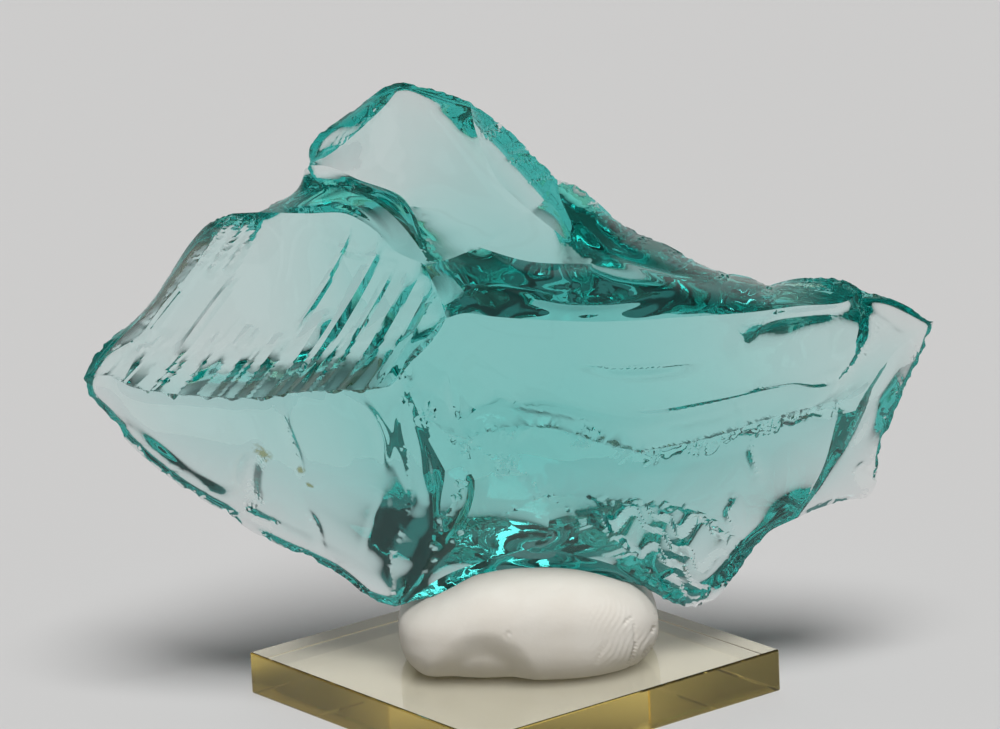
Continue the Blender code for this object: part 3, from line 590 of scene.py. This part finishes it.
def putty_material():
    """Matt off-white putty, a little mottled, with a finely grained skin."""
    material, tree, shader = new_material("putty_clay")
    mottle = noise_of_place(tree, 3.0, 4.0)
    grain = noise_of_place(tree, 0.35, 3.0)
    bump = add_node(tree, "Bump", {"Height": grain, "Strength": 0.25, "Distance": 0.06 * MM})
    feed(tree, shader, {
        "Base Color": two_colours(tree, mottle, (0.70, 0.65, 0.57, 1.0), (0.80, 0.77, 0.71, 1.0)),
        "Roughness": between(tree, grain, 0.3, 0.7, 0.5, 0.68),
        "Normal": bump.outputs["Normal"],
    })
    return material


def add_object(name, points, faces, material):
    """A smooth-shaded mesh object from points in millimetres."""
    mesh = bpy.data.meshes.new(name)
    mesh.from_pydata((np.asarray(points) * MM).tolist(), [], np.asarray(faces).tolist())
    mesh.materials.append(material)
    mesh.polygons.foreach_set("use_smooth", [True] * len(mesh.polygons))
    obj = bpy.data.objects.new(name, mesh)
    bpy.context.collection.objects.link(obj)
    return obj


# --- the crystal ---


def sight_axes():
    """Right and up as the eye sees them."""
    level_up = Vector((0.0, math.sin(SIGHT_DIP), math.cos(SIGHT_DIP)))
    level_right = Vector((1.0, 0.0, 0.0))
    right = level_right * math.cos(SIGHT_ROLL) - level_up * math.sin(SIGHT_ROLL)
    up = level_up * math.cos(SIGHT_ROLL) + level_right * math.sin(SIGHT_ROLL)
    return right, up


def placed(point):
    """The place in space of a point drawn as the eye sees it, at its depth."""
    across, height, depth = point
    right, up = sight_axes()
    ray = CRYSTAL_MIDDLE - EYE + right * across + up * height
    reach = (depth - EYE.y) / ray.y
    return np.array(EYE + ray * reach)


def lengths_along(path):
    """How far along a path each of its points is."""
    return np.concatenate([[0.0], np.cumsum(np.linalg.norm(np.diff(path, axis=0), axis=1))])


def mixed(at, start, end, first, second):
    """Part way from the first to the second, as each place is between start and end."""
    return (end - at) / (end - start) * first + (at - start) / (end - start) * second


def smooth_path(points, spacing):
    """A centripetal Catmull-Rom path through the points, cut into even steps."""
    points = np.array(points)
    before = 2.0 * points[0] - points[1]
    after = 2.0 * points[-1] - points[-2]
    chain = np.vstack([before, points, after])
    knots = np.concatenate([[0.0], np.cumsum(np.sqrt(np.linalg.norm(np.diff(chain, axis=0), axis=1)))])
    samples = []
    for i in range(1, len(chain) - 2):
        t0, t1, t2, t3 = knots[i - 1:i + 3]
        t = np.linspace(t1, t2, 24, endpoint=False)[:, None]
        a1 = mixed(t, t0, t1, chain[i - 1], chain[i])
        a2 = mixed(t, t1, t2, chain[i], chain[i + 1])
        a3 = mixed(t, t2, t3, chain[i + 1], chain[i + 2])
        samples.append(mixed(t, t1, t2, mixed(t, t0, t2, a1, a2), mixed(t, t1, t3, a2, a3)))
    samples = np.vstack(samples + [points[-1:]])
    along = lengths_along(samples)
    steps = max(2, round(along[-1] / spacing))
    wanted = np.linspace(0.0, along[-1], steps + 1)
    return np.column_stack([np.interp(wanted, along, samples[:, k]) for k in range(3)])


def edge_stops(name):
    """The places that an edge passes through."""
    start, *middle, end = EDGES[name]
    return [placed(point) for point in (JOINTS[start], *middle, JOINTS[end])]


def edge_paths(spacing):
    """The points of the whole net, and each edge as a row of indices into them."""
    points = []
    joint_index = {}
    for name, joint in JOINTS.items():
        joint_index[name] = len(points)
        points.append(placed(joint))
    rows = {}
    for name, (start, *_, end) in EDGES.items():
        path = smooth_path(edge_stops(name), spacing)
        first = len(points)
        points.extend(path[1:-1])
        rows[name] = [joint_index[start], *range(first, len(points)), joint_index[end]]
    return points, rows


def loops_of_faces(rows):
    """Each face's loop of indices, turned so that every edge is walked once each way."""
    walks = {}
    for face, (edges, _) in FACES.items():
        first = rows[edges[0]]
        second = rows[edges[1]]
        forward = len(edges) == 2 or first[-1] in (second[0], second[-1])
        walk = []
        at = first[0] if forward else first[-1]
        for edge in edges:
            row = rows[edge]
            ahead = row[0] == at
            assert ahead or row[-1] == at, (face, edge)
            walk.append((edge, ahead))
            at = row[-1] if ahead else row[0]
        walks[face] = walk
    turned = {next(iter(FACES)): False}
    waiting = list(turned)
    while waiting:
        face = waiting.pop()
        mine = {edge: ahead != turned[face] for edge, ahead in walks[face]}
        for other, walk in walks.items():
            if other in turned:
                continue
            shared = [(edge, ahead) for edge, ahead in walk if edge in mine]
            if shared:
                edge, ahead = shared[0]
                turned[other] = ahead == mine[edge]
                waiting.append(other)
    loops = {}
    for face, walk in walks.items():
        loop = []
        for edge, ahead in walk:
            row = rows[edge] if ahead else rows[edge][::-1]
            loop.extend(row[:-1])
        loops[face] = loop[::-1] if turned[face] else loop
    return loops


def away_from_outline(points, outline):
    """How far each point of the plane is from the outline's sides."""
    side = np.roll(outline, -1, axis=0) - outline
    length = (side * side).sum(axis=1)
    away = np.empty(len(points))
    for first in range(0, len(points), BATCH):
        offset = points[first:first + BATCH, None, :] - outline[None]
        along = np.clip((offset * side).sum(axis=2) / length, 0.0, 1.0)
        gap = offset - along[..., None] * side
        away[first:first + BATCH] = np.sqrt((gap * gap).sum(axis=2).min(axis=1))
    return away


def inside_points(outline, spacing):
    """A honeycomb of points inside an outline, clear of its sides."""
    low = outline.min(axis=0)
    high = outline.max(axis=0)
    row_step = spacing * math.sqrt(0.75)
    rows = np.arange(low[1] + row_step / 2, high[1], row_step)
    points = []
    for k, y in enumerate(rows):
        x = np.arange(low[0] + spacing * (0.5 + 0.5 * (k % 2)), high[0], spacing)
        points.append(np.column_stack([x, np.full(len(x), y)]))
    points = np.vstack(points)
    start = outline
    end = np.roll(outline, -1, axis=0)
    side = end - start
    x, y = points[:, :1], points[:, 1:]
    crosses = (start[:, 1] > y) != (end[:, 1] > y)
    rise = np.where(np.abs(side[:, 1]) < 1e-12, 1e-12, side[:, 1])
    crosses &= x < side[:, 0] * (y - start[:, 1]) / rise + start[:, 0]
    points = points[crosses.sum(axis=1) % 2 == 1]
    away = away_from_outline(points, outline)
    return points[away > 0.6 * spacing]


def spanned(a, b):
    """Twice the area that each two vectors span, positive where the second is to the left."""
    return a[:, 0] * b[:, 1] - a[:, 1] * b[:, 0]


def stretched_heights(flat, triangles, fixed_count, fixed_heights, bend):
    """Heights of a sheet held along its outline, each place bent by so much, in a steady state."""
    corner = flat[triangles]
    pairs, weights = [], []
    for k in range(3):
        here, left, right = corner[:, k], corner[:, (k + 1) % 3], corner[:, (k + 2) % 3]
        a, b = left - here, right - here
        weights.append(0.5 * (a * b).sum(axis=1) / np.maximum(np.abs(spanned(a, b)), 1e-9))
        pairs.append(triangles[:, [(k + 1) % 3, (k + 2) % 3]])
    pairs = np.vstack(pairs)
    weights = np.clip(np.concatenate(weights), 1e-3, 1e3)
    area = np.abs(spanned(corner[:, 1] - corner[:, 0], corner[:, 2] - corner[:, 0])) / 2
    count = len(flat)
    share = np.zeros(count)
    np.add.at(share, triangles, (area / 3)[:, None])
    rows = np.concatenate([pairs[:, 0], pairs[:, 1]])
    columns = np.concatenate([pairs[:, 1], pairs[:, 0]])
    both = np.concatenate([weights, weights])

    def laplacian(h):
        return np.bincount(rows, both * (h[rows] - h[columns]), minlength=count)

    heights = np.full(count, fixed_heights.mean())
    heights[:fixed_count] = fixed_heights
    pull = share * bend
    residual = pull - laplacian(heights)
    residual[:fixed_count] = 0.0
    direction = residual.copy()
    size = residual @ residual
    # Conjugate gradients, until the sheet is at rest.
    for _ in range(2000):
        if size < 1e-16:
            break
        moved = laplacian(direction)
        moved[:fixed_count] = 0.0
        step = size / (direction @ moved)
        heights += step * direction
        residual -= step * moved
        new_size = residual @ residual
        direction = residual + new_size / size * direction
        size = new_size
    return heights


def bend_of(flat, hollow, bends):
    """How strongly each place of a sheet is bent, by its hollow and beside its edges."""
    bend = np.full(len(flat), 2.0 / hollow if hollow else 0.0)
    for edge, distance, radius in bends:
        away = np.linalg.norm(flat[:, None, :] - edge[None], axis=2).min(axis=1)
        bend += np.exp(-((away / distance - 1.0) / BEND_SPREAD) ** 2) * 2.0 / radius
    return bend


def sheet_over(loop_points, hollow, bends, spacing, relief):
    """A sheet over a closed outline with its relief: its inner points, and its triangles with the
    outline first."""
    centre = loop_points.mean(axis=0)
    offset = loop_points - centre
    normal = np.cross(offset, np.roll(offset, -1, axis=0)).sum(axis=0)
    normal /= np.linalg.norm(normal)
    side = np.cross(normal, [0.3, 0.5, 0.8])
    side /= np.linalg.norm(side)
    other = np.cross(normal, side)
    outline = np.column_stack([offset @ side, offset @ other])
    flat = np.vstack([outline, inside_points(outline, spacing)])
    fixed = len(outline)
    # Only the triangles inside the outline are kept, which is what the 1 means.
    found = delaunay_2d_cdt([Vector(p) for p in flat], [], [list(range(fixed))], 1, 1e-7)
    origin = [sources[0] for sources in found[3]]
    triangles = np.array([[origin[i] for i in face] for face in found[2]])
    a = flat[triangles[:, 1]] - flat[triangles[:, 0]]
    b = flat[triangles[:, 2]] - flat[triangles[:, 0]]
    backward = spanned(a, b) < 0
    triangles[backward] = triangles[backward][:, ::-1]
    bends = [
        (np.column_stack([(edge - centre) @ side, (edge - centre) @ other]), distance, radius)
        for edge, distance, radius in bends
    ]
    heights = stretched_heights(flat, triangles, fixed, offset @ normal, bend_of(flat, hollow, bends))
    sheet = centre + flat[:, :1] * side + flat[:, 1:] * other + heights[:, None] * normal
    inward = away_from_outline(flat, outline)
    lift = relief(seen_places(sheet), inward)
    sheet -= lift[:, None] * surface_normals(sheet, triangles)
    return sheet[fixed:], triangles


def seen_places(points):
    """Points of space as the eye sees them: millimetres across and up from the crystal's middle."""
    right, up = (np.array(axis) for axis in sight_axes())
    forward = np.cross(up, right)
    middle = np.array(CRYSTAL_MIDDLE - EYE)
    offset = points - np.array(EYE)
    on_plane = offset / (offset @ forward / (middle @ forward))[:, None] - middle
    return np.column_stack([on_plane @ right, on_plane @ up])


def surface_normals(points, triangles):
    """Each point's normal, from the triangles round it."""
    corner = points[triangles]
    cross = np.cross(corner[:, 1] - corner[:, 0], corner[:, 2] - corner[:, 0])
    normals = np.zeros_like(points)
    for k in range(3):
        np.add.at(normals, triangles[:, k], cross)
    return normals / np.maximum(np.linalg.norm(normals, axis=1), 1e-12)[:, None]


# --- the crystal's relief ---


def ease(value, low, high):
    """A smooth rise from nought at low to one at high."""
    t = np.clip((value - low) / (high - low), 0.0, 1.0)
    return t * t * (3.0 - 2.0 * t)


def saw_tooth(count, steep):
    """A row of steps, each rising in its steep share and falling in the rest."""
    tooth = count % 1.0
    return np.where(tooth < steep, tooth / steep, (1.0 - tooth) / (1.0 - steep))


def hackle_across(seen, down):
    """The coordinate across the left scar's hackles, which fan out and lean over going down."""
    x = seen[:, 0]
    uneven = 0.06 * np.sin(0.5 * down + 0.35 * x) + 0.015 * np.sin(1.9 * down + 1.3 * x)
    fan = (x - FAN_CENTRE - FAN_LEAN * down) * np.exp(-FAN_SPREAD * down)
    return FAN_CENTRE + fan + uneven


def hackles(seen, inward):
    """Long steps that fan down the left scar, each with one steep side."""
    down = HACKLE_TOP - seen[:, 1]
    across = hackle_across(seen, down)
    lift = np.zeros(len(seen))
    dice = np.random.default_rng(SMALL_HACKLE_SEED)
    strokes = list(MAIN_HACKLES)
    for _ in range(SMALL_HACKLES):
        place = dice.uniform(-26.0, -1.0)
        start = dice.uniform(8.0, 13.0)
        end = start + dice.uniform(2.0, 5.0)
        width = dice.uniform(0.25, 0.6) * (1.0 if place > -16.0 else -0.6)
        strokes.append((place, start, end, width, 0.9 * abs(width)))
    for place, start, end, width, depth in strokes:
        reach = (across - place) / width
        steep_side = np.clip(1.0 + HACKLE_STEEPNESS * reach, 0.0, 1.0)
        broad_side = np.clip(1.0 - reach, 0.0, 1.0)
        fade = ease(down, start, start + 0.25 * (end - start)) * (1.0 - ease(down, end - 0.5, end + 0.5))
        # Those in the middle and on the right grow shallower towards the foot.
        share = 1.0 - 0.5 * ease(down, 8.0, 13.5) * (place > -17.0)
        lift = np.minimum(lift, -depth * share * fade * np.where(reach < 0.0, steep_side, broad_side))
    pitch, height, start, full, steep = COMB
    count = across / pitch + 0.35 * np.sin(1.7 * across) + 0.25 * np.sin(0.6 * across + 1.0)
    reach = down + 0.9 * np.sin(2.1 * across) + 0.6 * np.sin(5.3 * across)
    lift = np.minimum(lift, -height * saw_tooth(count, steep) * ease(reach, start, full))
    return lift * ease(inward, 0.0, 0.25)


def ripples(seen, centre, wave, height):
    """Rings round the place that a fracture spread from."""
    radius = np.hypot(seen[:, 0] - centre[0], seen[:, 1] - centre[1])
    return height * np.sin(2.0 * math.pi * radius / wave)


def close_to(seen, path, reach):
    """The indices of the places in a path's box, which is wider by the reach all round."""
    inside = (seen > path.min(axis=0) - reach) & (seen < path.max(axis=0) + reach)
    return np.flatnonzero(inside.all(axis=1))


def groove(seen, path, width, depth):
    """A furrow along a path, deepest in its middle and fading to its ends."""
    path = smooth_path([(*point, 0.0) for point in path], 0.3)[:, :2]
    near = close_to(seen, path, 3.0 * width)
    offset = seen[near, None, :] - path[None]
    gap = (offset * offset).sum(axis=2)
    along = gap.argmin(axis=1) / (len(path) - 1)
    fade = np.sin(math.pi * np.clip(along, 0.02, 0.98)) ** 0.7
    lift = np.zeros(len(seen))
    lift[near] = -depth * fade * np.exp(-gap.min(axis=1) / (width * width))
    return lift


def reach_from(seen, middle, sizes):
    """How far each place is from an oval's middle: one at the oval's edge."""
    return np.hypot(*((seen - middle) / sizes).T)


def swell(seen, middle, sizes, height):
    """A broad rise of the surface, fading out all round."""
    reach = ((seen - middle) / sizes) ** 2
    return height * np.exp(-reach.sum(axis=1))


def shards(seen, middle, sizes, heading, pitch, height):
    """Long uneven steps that all run one way, each with one broad side and one steep side."""
    offset = seen - middle
    turn = math.radians(heading)
    along = offset[:, 0] * math.cos(turn) + offset[:, 1] * math.sin(turn)
    across = offset[:, 1] * math.cos(turn) - offset[:, 0] * math.sin(turn)
    count = across / pitch + 0.35 * np.sin(0.8 * along + 1.1 * across) + 0.2 * np.sin(2.3 * along)
    size = 0.7 + 0.3 * np.sin(12.9 * np.floor(count) + 0.9 * along)
    fade = 1.0 - ease(reach_from(seen, middle, sizes), 0.6, 1.0)
    return -height * size * saw_tooth(count, 0.25) * fade


def fringe(seen, edge, reach, pitch, height, lean):
    """Short saw-toothed steps beside an edge, fading away from it."""
    path = seen_places(smooth_path(edge_stops(edge), 0.15))
    along_path = lengths_along(path)
    near = close_to(seen, path, reach)
    lift = np.zeros(len(seen))
    for first in range(0, len(near), BATCH):
        part = near[first:first + BATCH]
        offset = seen[part, None, :] - path[None]
        gap = (offset * offset).sum(axis=2)
        away = np.sqrt(gap.min(axis=1))
        along = along_path[gap.argmin(axis=1)] + lean * away
        uneven = 0.5 * np.sin(1.9 * along / pitch) + 0.35 * np.sin(0.83 * along / pitch + 2.0)
        shape = saw_tooth(along / pitch + uneven, 0.3)
        strength = 0.55 + 0.45 * np.sin(1.1 * along / pitch + 1.0)
        lift[part] = -height * strength * shape * np.clip(1.0 - away / reach, 0.0, 1.0)
    return lift


def rows_of(face, table):
    """The rows of a table that are a face's, without its name."""
    return [row[1:] for row in table if row[0] == face]


def relief_of(face):
    """The relief of one face, as a function of the places seen and how far they are inward. Each
    kind of relief is nothing at the face's border, and full at the distance given here."""

    def relief(seen, inward):
        lift = np.zeros(len(seen))
        if face == "left_scar":
            lift += hackles(seen, inward)
        for row in rows_of(face, RIPPLES):
            lift += ripples(seen, *row) * ease(inward, 0.0, 1.5)
        for *row, border in rows_of(face, SWELLS):
            lift += swell(seen, *row) * ease(inward, 0.0, border)
        for row in rows_of(face, GROOVES):
            lift += groove(seen, *row) * ease(inward, 0.0, 0.5)
        for row in rows_of(face, SHARDS):
            lift += shards(seen, *row) * ease(inward, 0.0, 0.6)
        for row in rows_of(face, FRINGES):
            lift += fringe(seen, *row) * ease(inward, 0.0, 0.3)
        return lift

    return relief


def chip_edges(points, triangles, rows):
    """Shallow scoops bitten out of the edges, as spheres that cut about along the edge's normal."""
    dice = np.random.default_rng(CHIP_SEED)
    for name, (pitch, small, large) in CHIPPED_EDGES.items():
        row = rows[name]
        length = np.linalg.norm(np.diff(points[row], axis=0), axis=1).sum()
        normals = surface_normals(points, triangles)
        for _ in range(int(length / pitch)):
            place = row[dice.integers(1, len(row) - 1)]
            bite = dice.uniform(small, large)
            radius = bite * dice.uniform(4.0, 9.0)
            towards = normals[place] + dice.normal(0.0, 0.3, 3)
            towards /= np.linalg.norm(towards)
            centre = points[place] + towards * (radius - bite)
            offset = points - centre
            close = np.flatnonzero((offset * offset).sum(axis=1) < radius * radius)
            offset = offset[close]
            rise = offset @ towards
            depth = rise + np.sqrt(rise * rise - (offset * offset).sum(axis=1) + radius * radius)
            points[close] -= depth[:, None] * towards


def crystal_mesh():
    """The points and triangles of the whole chunk, chips and relief included."""
    points, rows = edge_paths(FINE_SPACING)
    triangles = []
    for face, loop in loops_of_faces(rows).items():
        hollow = FACES[face][1]
        loop_points = np.array([points[i] for i in loop])
        bends = [
            (np.array([points[i] for i in rows[edge]]), distance, radius)
            for edge, distance, radius in BENDS.get(face, ())
        ]
        spacing = PLAIN_SPACING if face in PLAIN_FACES else FINE_SPACING
        inner, local = sheet_over(loop_points, hollow, bends, spacing, relief_of(face))
        index = np.array(loop + list(range(len(points), len(points) + len(inner))))
        points.extend(inner)
        triangles.append(index[local])
    points = np.array(points)
    # The outlines run clockwise as seen from outside, so their triangles are turned over.
    triangles = np.vstack(triangles)[:, ::-1]
    chip_edges(points, triangles, rows)
    return points, triangles


def make_crystal():
    """The fine crystal in place of its solid. Its points and triangles press the putty."""
    points, triangles = crystal_mesh()
    crystal = add_object("andara_glass", points, triangles, glass_material())
    crystal.data.set_sharp_from_angle(angle=SHARP_ANGLE)
    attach(crystal, "root")
    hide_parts("andara_crystal")
    return points, triangles


# --- the putty ---


def arch_height(x):
    """The height of the arch in the crystal's foot, under which the putty's crown stays."""
    heights = []
    for names in (("arch_front",), ("arch_back_left", "arch_back_right")):
        path = np.vstack([smooth_path(edge_stops(name), 0.5) for name in names])
        heights.append(np.interp(x, path[:, 0], path[:, 2]))
    return min(heights)


def superellipse(angle, power):
    """Across and up on a rounded square, fuller than a circle where the power is under one."""
    c, s = np.cos(angle), np.sin(angle)
    return np.copysign(np.abs(c) ** power, c), np.copysign(np.abs(s) ** power, s)


def putty_mesh():
    """A squeezed roll of putty, its underside flat on the plate."""
    floor = BASE_THICKNESS + PUTTY_GAP
    middle = 0.5 * (PUTTY_LEFT + PUTTY_RIGHT)
    half_length = 0.5 * (PUTTY_RIGHT - PUTTY_LEFT)
    depth = 0.5 * (PUTTY_FRONT + PUTTY_BACK)
    half_width = 0.5 * (PUTTY_BACK - PUTTY_FRONT)
    across, up = superellipse(
        2.0 * math.pi * (np.arange(PUTTY_SIDES) + 0.5) / PUTTY_SIDES, PUTTY_SQUARENESS,
    )
    points = []
    for k in range(1, PUTTY_SECTIONS):
        t = -math.cos(math.pi * k / PUTTY_SECTIONS)
        x = middle + half_length * t
        cap = (1.0 - abs(t) ** PUTTY_END_POWER) ** (1.0 / PUTTY_END_POWER)
        crown = arch_height(x) + PUTTY_SQUEEZE
        waist = floor + PUTTY_WAIST * (crown - floor)
        tall = np.where(up > 0.0, crown - waist, PUTTY_FOOT_SINK * (waist - floor))
        height = waist + tall * cap * up
        y = depth + half_width * cap * across
        points.append(np.column_stack([np.full(PUTTY_SIDES, x), y, height]))
    points.append(np.array([
        (x, depth, floor + PUTTY_WAIST * (arch_height(x) + PUTTY_SQUEEZE - floor))
        for x in (PUTTY_LEFT, PUTTY_RIGHT)
    ]))
    left_end = (PUTTY_SECTIONS - 1) * PUTTY_SIDES
    here = np.arange(PUTTY_SIDES)
    beside = (here + 1) % PUTTY_SIDES
    triangles = []
    for k in range(PUTTY_SECTIONS - 2):
        a, b = k * PUTTY_SIDES + here, k * PUTTY_SIDES + beside
        triangles.append(np.column_stack([a, b, b + PUTTY_SIDES]))
        triangles.append(np.column_stack([a, b + PUTTY_SIDES, a + PUTTY_SIDES]))
    last = (PUTTY_SECTIONS - 2) * PUTTY_SIDES
    triangles.append(np.column_stack([beside, here, np.full(PUTTY_SIDES, left_end)]))
    triangles.append(np.column_stack([last + here, last + beside, np.full(PUTTY_SIDES, left_end + 1)]))
    return np.vstack(points), np.vstack(triangles)


def putty_relief(points, normals):
    """How far the putty's skin stands out: lumps, finger ridges, creases and the low hollow."""
    seen = seen_places(points)
    lift = np.zeros(len(points))
    for wave, height in PUTTY_LUMPS:
        lift += height * np.array([noise.noise(Vector(point) / wave) for point in points])
    front = ease(-normals[:, 1], 0.0, 0.4)
    patch = np.zeros(len(points))
    for place, sizes in FINGER_PATCHES:
        patch = np.maximum(patch, 1.0 - ease(reach_from(seen, place, sizes), 0.5, 1.0))
    ring = np.hypot(*(seen - FINGER_CENTRE).T) + 0.12 * np.sin(0.9 * seen[:, 0] + 1.7 * seen[:, 1])
    ridges = FINGER_HEIGHT * np.sin(2.0 * math.pi * ring / FINGER_PITCH)
    lift += front * patch * ridges
    for path, width, depth in PUTTY_CREASES:
        lift += front * groove(seen, path, width, depth)
    place, sizes, depth = PUTTY_HOLLOW
    lift -= front * depth * (1.0 - ease(reach_from(seen, place, sizes), 0.5, 1.08))
    return lift


def make_putty(crystal_points, crystal_triangles):
    """The fine putty in place of its solid, pressed down by the crystal."""
    points, triangles = putty_mesh()
    normals = surface_normals(points, triangles)
    points += putty_relief(points, normals)[:, None] * normals
    floor = BASE_THICKNESS + PUTTY_GAP
    points[:, 2] = np.maximum(points[:, 2], floor)
    # Where the crystal stands over the putty, it has pressed it down. The foot is never under it.
    tree = BVHTree.FromPolygons(crystal_points.tolist(), crystal_triangles.tolist())
    upward = Vector((0.0, 0.0, 1.0))
    shifts = (-PRESS_REACH, 0.0, PRESS_REACH)
    around = [(dx, dy) for dx in shifts for dy in shifts]
    for point in points:
        if point[2] < floor + PUTTY_FOOT:
            continue
        for dx, dy in around:
            hit = tree.ray_cast(Vector((point[0] + dx, point[1] + dy, floor)), upward)[0]
            if hit is not None:
                point[2] = min(point[2], hit.z - PUTTY_PRESS_GAP)
    putty = add_object("putty_blob", points, triangles, putty_material())
    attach(putty, "root")
    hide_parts("mounting_putty")


# --- the studio ---

# Brightness by height, from straight down at 0 to straight up at 1.
PANEL_STOPS = ((0.0, 0.0), (0.49, 0.5), (0.5, 0.36), (0.66, 0.36), (0.7, 0.5), (0.84, 0.5), (0.90, 0.0))
ROOM_STOPS = (
    (0.0, 0.05), (0.49, 0.06), (0.5, 0.2), (0.66, 0.2), (0.7, 0.05), (0.86, 0.04), (0.92, 0.2),
    (1.0, 0.2),
)
# The share of a direction that points to the back, where the panel starts and where it is full.
PANEL_EDGE = 0.6
PANEL_FULL = 0.85
# Where both lamps shine from.
LAMP_DIRECTION = (0.1, -0.5, 1.0)
# The floor's half side, and how far it is under the plate, so that the two don't touch.
FLOOR_REACH = 6000.0
FLOOR_DROP = 0.05


def grey_at(tree, height, stops):
    """The brightness at a height, between the stops on each side of it."""
    ramp = add_node(tree, "ValToRGB", {"Fac": height})
    elements = ramp.color_ramp.elements
    while len(elements) < len(stops):
        elements.new(0.5)
    for element, (place, grey) in zip(elements, stops):
        element.position = place
        element.color = (grey, grey, grey, 1.0)
    return ramp.outputs["Color"]


def make_camera():
    """The front camera, at the eye that the crystal is drawn from."""
    camera = bpy.data.cameras.new("camera")
    camera.lens = LENS
    camera.sensor_width = 36.0
    camera.clip_start = 0.01
    camera.clip_end = 50.0
    obj = bpy.data.objects.new("camera", camera)
    bpy.context.collection.objects.link(obj)
    right, up = sight_axes()
    back = right.cross(up)
    turn = Matrix((right, up, back)).transposed().to_4x4()
    turn.translation = EYE * MM
    obj.matrix_world = turn
    bpy.context.scene.camera = obj


def make_floor():
    """A wide pale floor."""
    material, tree, shader = new_material("pale_floor")
    feed(tree, shader, {"Base Color": (0.62, 0.615, 0.61, 1.0), "Roughness": 0.9})
    corners = [(x * FLOOR_REACH, y * FLOOR_REACH, 0.0) for x, y in ((-1, -1), (1, -1), (1, 1), (-1, 1))]
    floor = add_object("floor", corners, [(0, 1, 2, 3)], material)
    floor.location.z = -FLOOR_DROP * MM


def make_world():
    """A dim room with a tall bright panel behind the object and a soft ceiling light."""
    world = bpy.data.worlds.new("studio")
    world.use_nodes = True
    tree = world.node_tree
    where = add_node(tree, "TexCoord", {}).outputs["Generated"]
    parts = add_node(tree, "SeparateXYZ", {"Vector": where}).outputs
    height = between(tree, parts["Z"], -1.0, 1.0, 0.0, 1.0)
    sockets = {"Value": parts["Y"], "From Min": PANEL_EDGE, "From Max": PANEL_FULL}
    facing = add_node(tree, "MapRange", sockets, interpolation_type="SMOOTHSTEP").outputs["Result"]
    panel = combine(tree, "MULTIPLY", grey_at(tree, height, PANEL_STOPS), facing)
    light = combine(tree, "ADD", panel, grey_at(tree, height, ROOM_STOPS))
    feed(tree, tree.nodes["Background"], {"Color": light})
    bpy.context.scene.world = world


def add_soft_sun(name, spread, strength, through_glass, blockers):
    """A far round lamp, so many degrees wide. Only the blockers cast its shadow."""
    light = bpy.data.lights.new(name, "SUN")
    light.energy = strength
    light.angle = math.radians(spread)
    lamp = bpy.data.objects.new(name, light)
    lamp.rotation_euler = (-Vector(LAMP_DIRECTION)).to_track_quat("-Z", "Y").to_euler()
    lamp.visible_glossy = False
    lamp.visible_transmission = through_glass
    bpy.context.collection.objects.link(lamp)
    shade = bpy.data.collections.new(name + "_shade")
    for blocker in blockers:
        shade.objects.link(blocker)
    lamp.light_linking.blocker_collection = shade


def make_studio(blockers):
    """The camera, floor, room and lamps. The lamps give the plate no shadow, because light passes
    through clear acrylic. Only the weak lamp is seen through glass."""
    make_camera()
    make_floor()
    make_world()
    add_soft_sun("overhead", 28.0, 2.68, False, blockers)
    add_soft_sun("overhead_glow", 26.0, 0.3, True, blockers)
    scene = bpy.context.scene
    scene.view_settings.view_transform = "Standard"
    scene.cycles.max_bounces = 32
    scene.cycles.transmission_bounces = 32
    scene.cycles.glossy_bounces = 16


make_putty(*make_crystal())
# The plate keeps its solid, in a material of its own.
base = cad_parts["acrylic_base"]
base.data.materials.clear()
base.data.materials.append(acrylic_material())
make_studio([bpy.data.objects[name] for name in ("andara_glass", "putty_blob")])
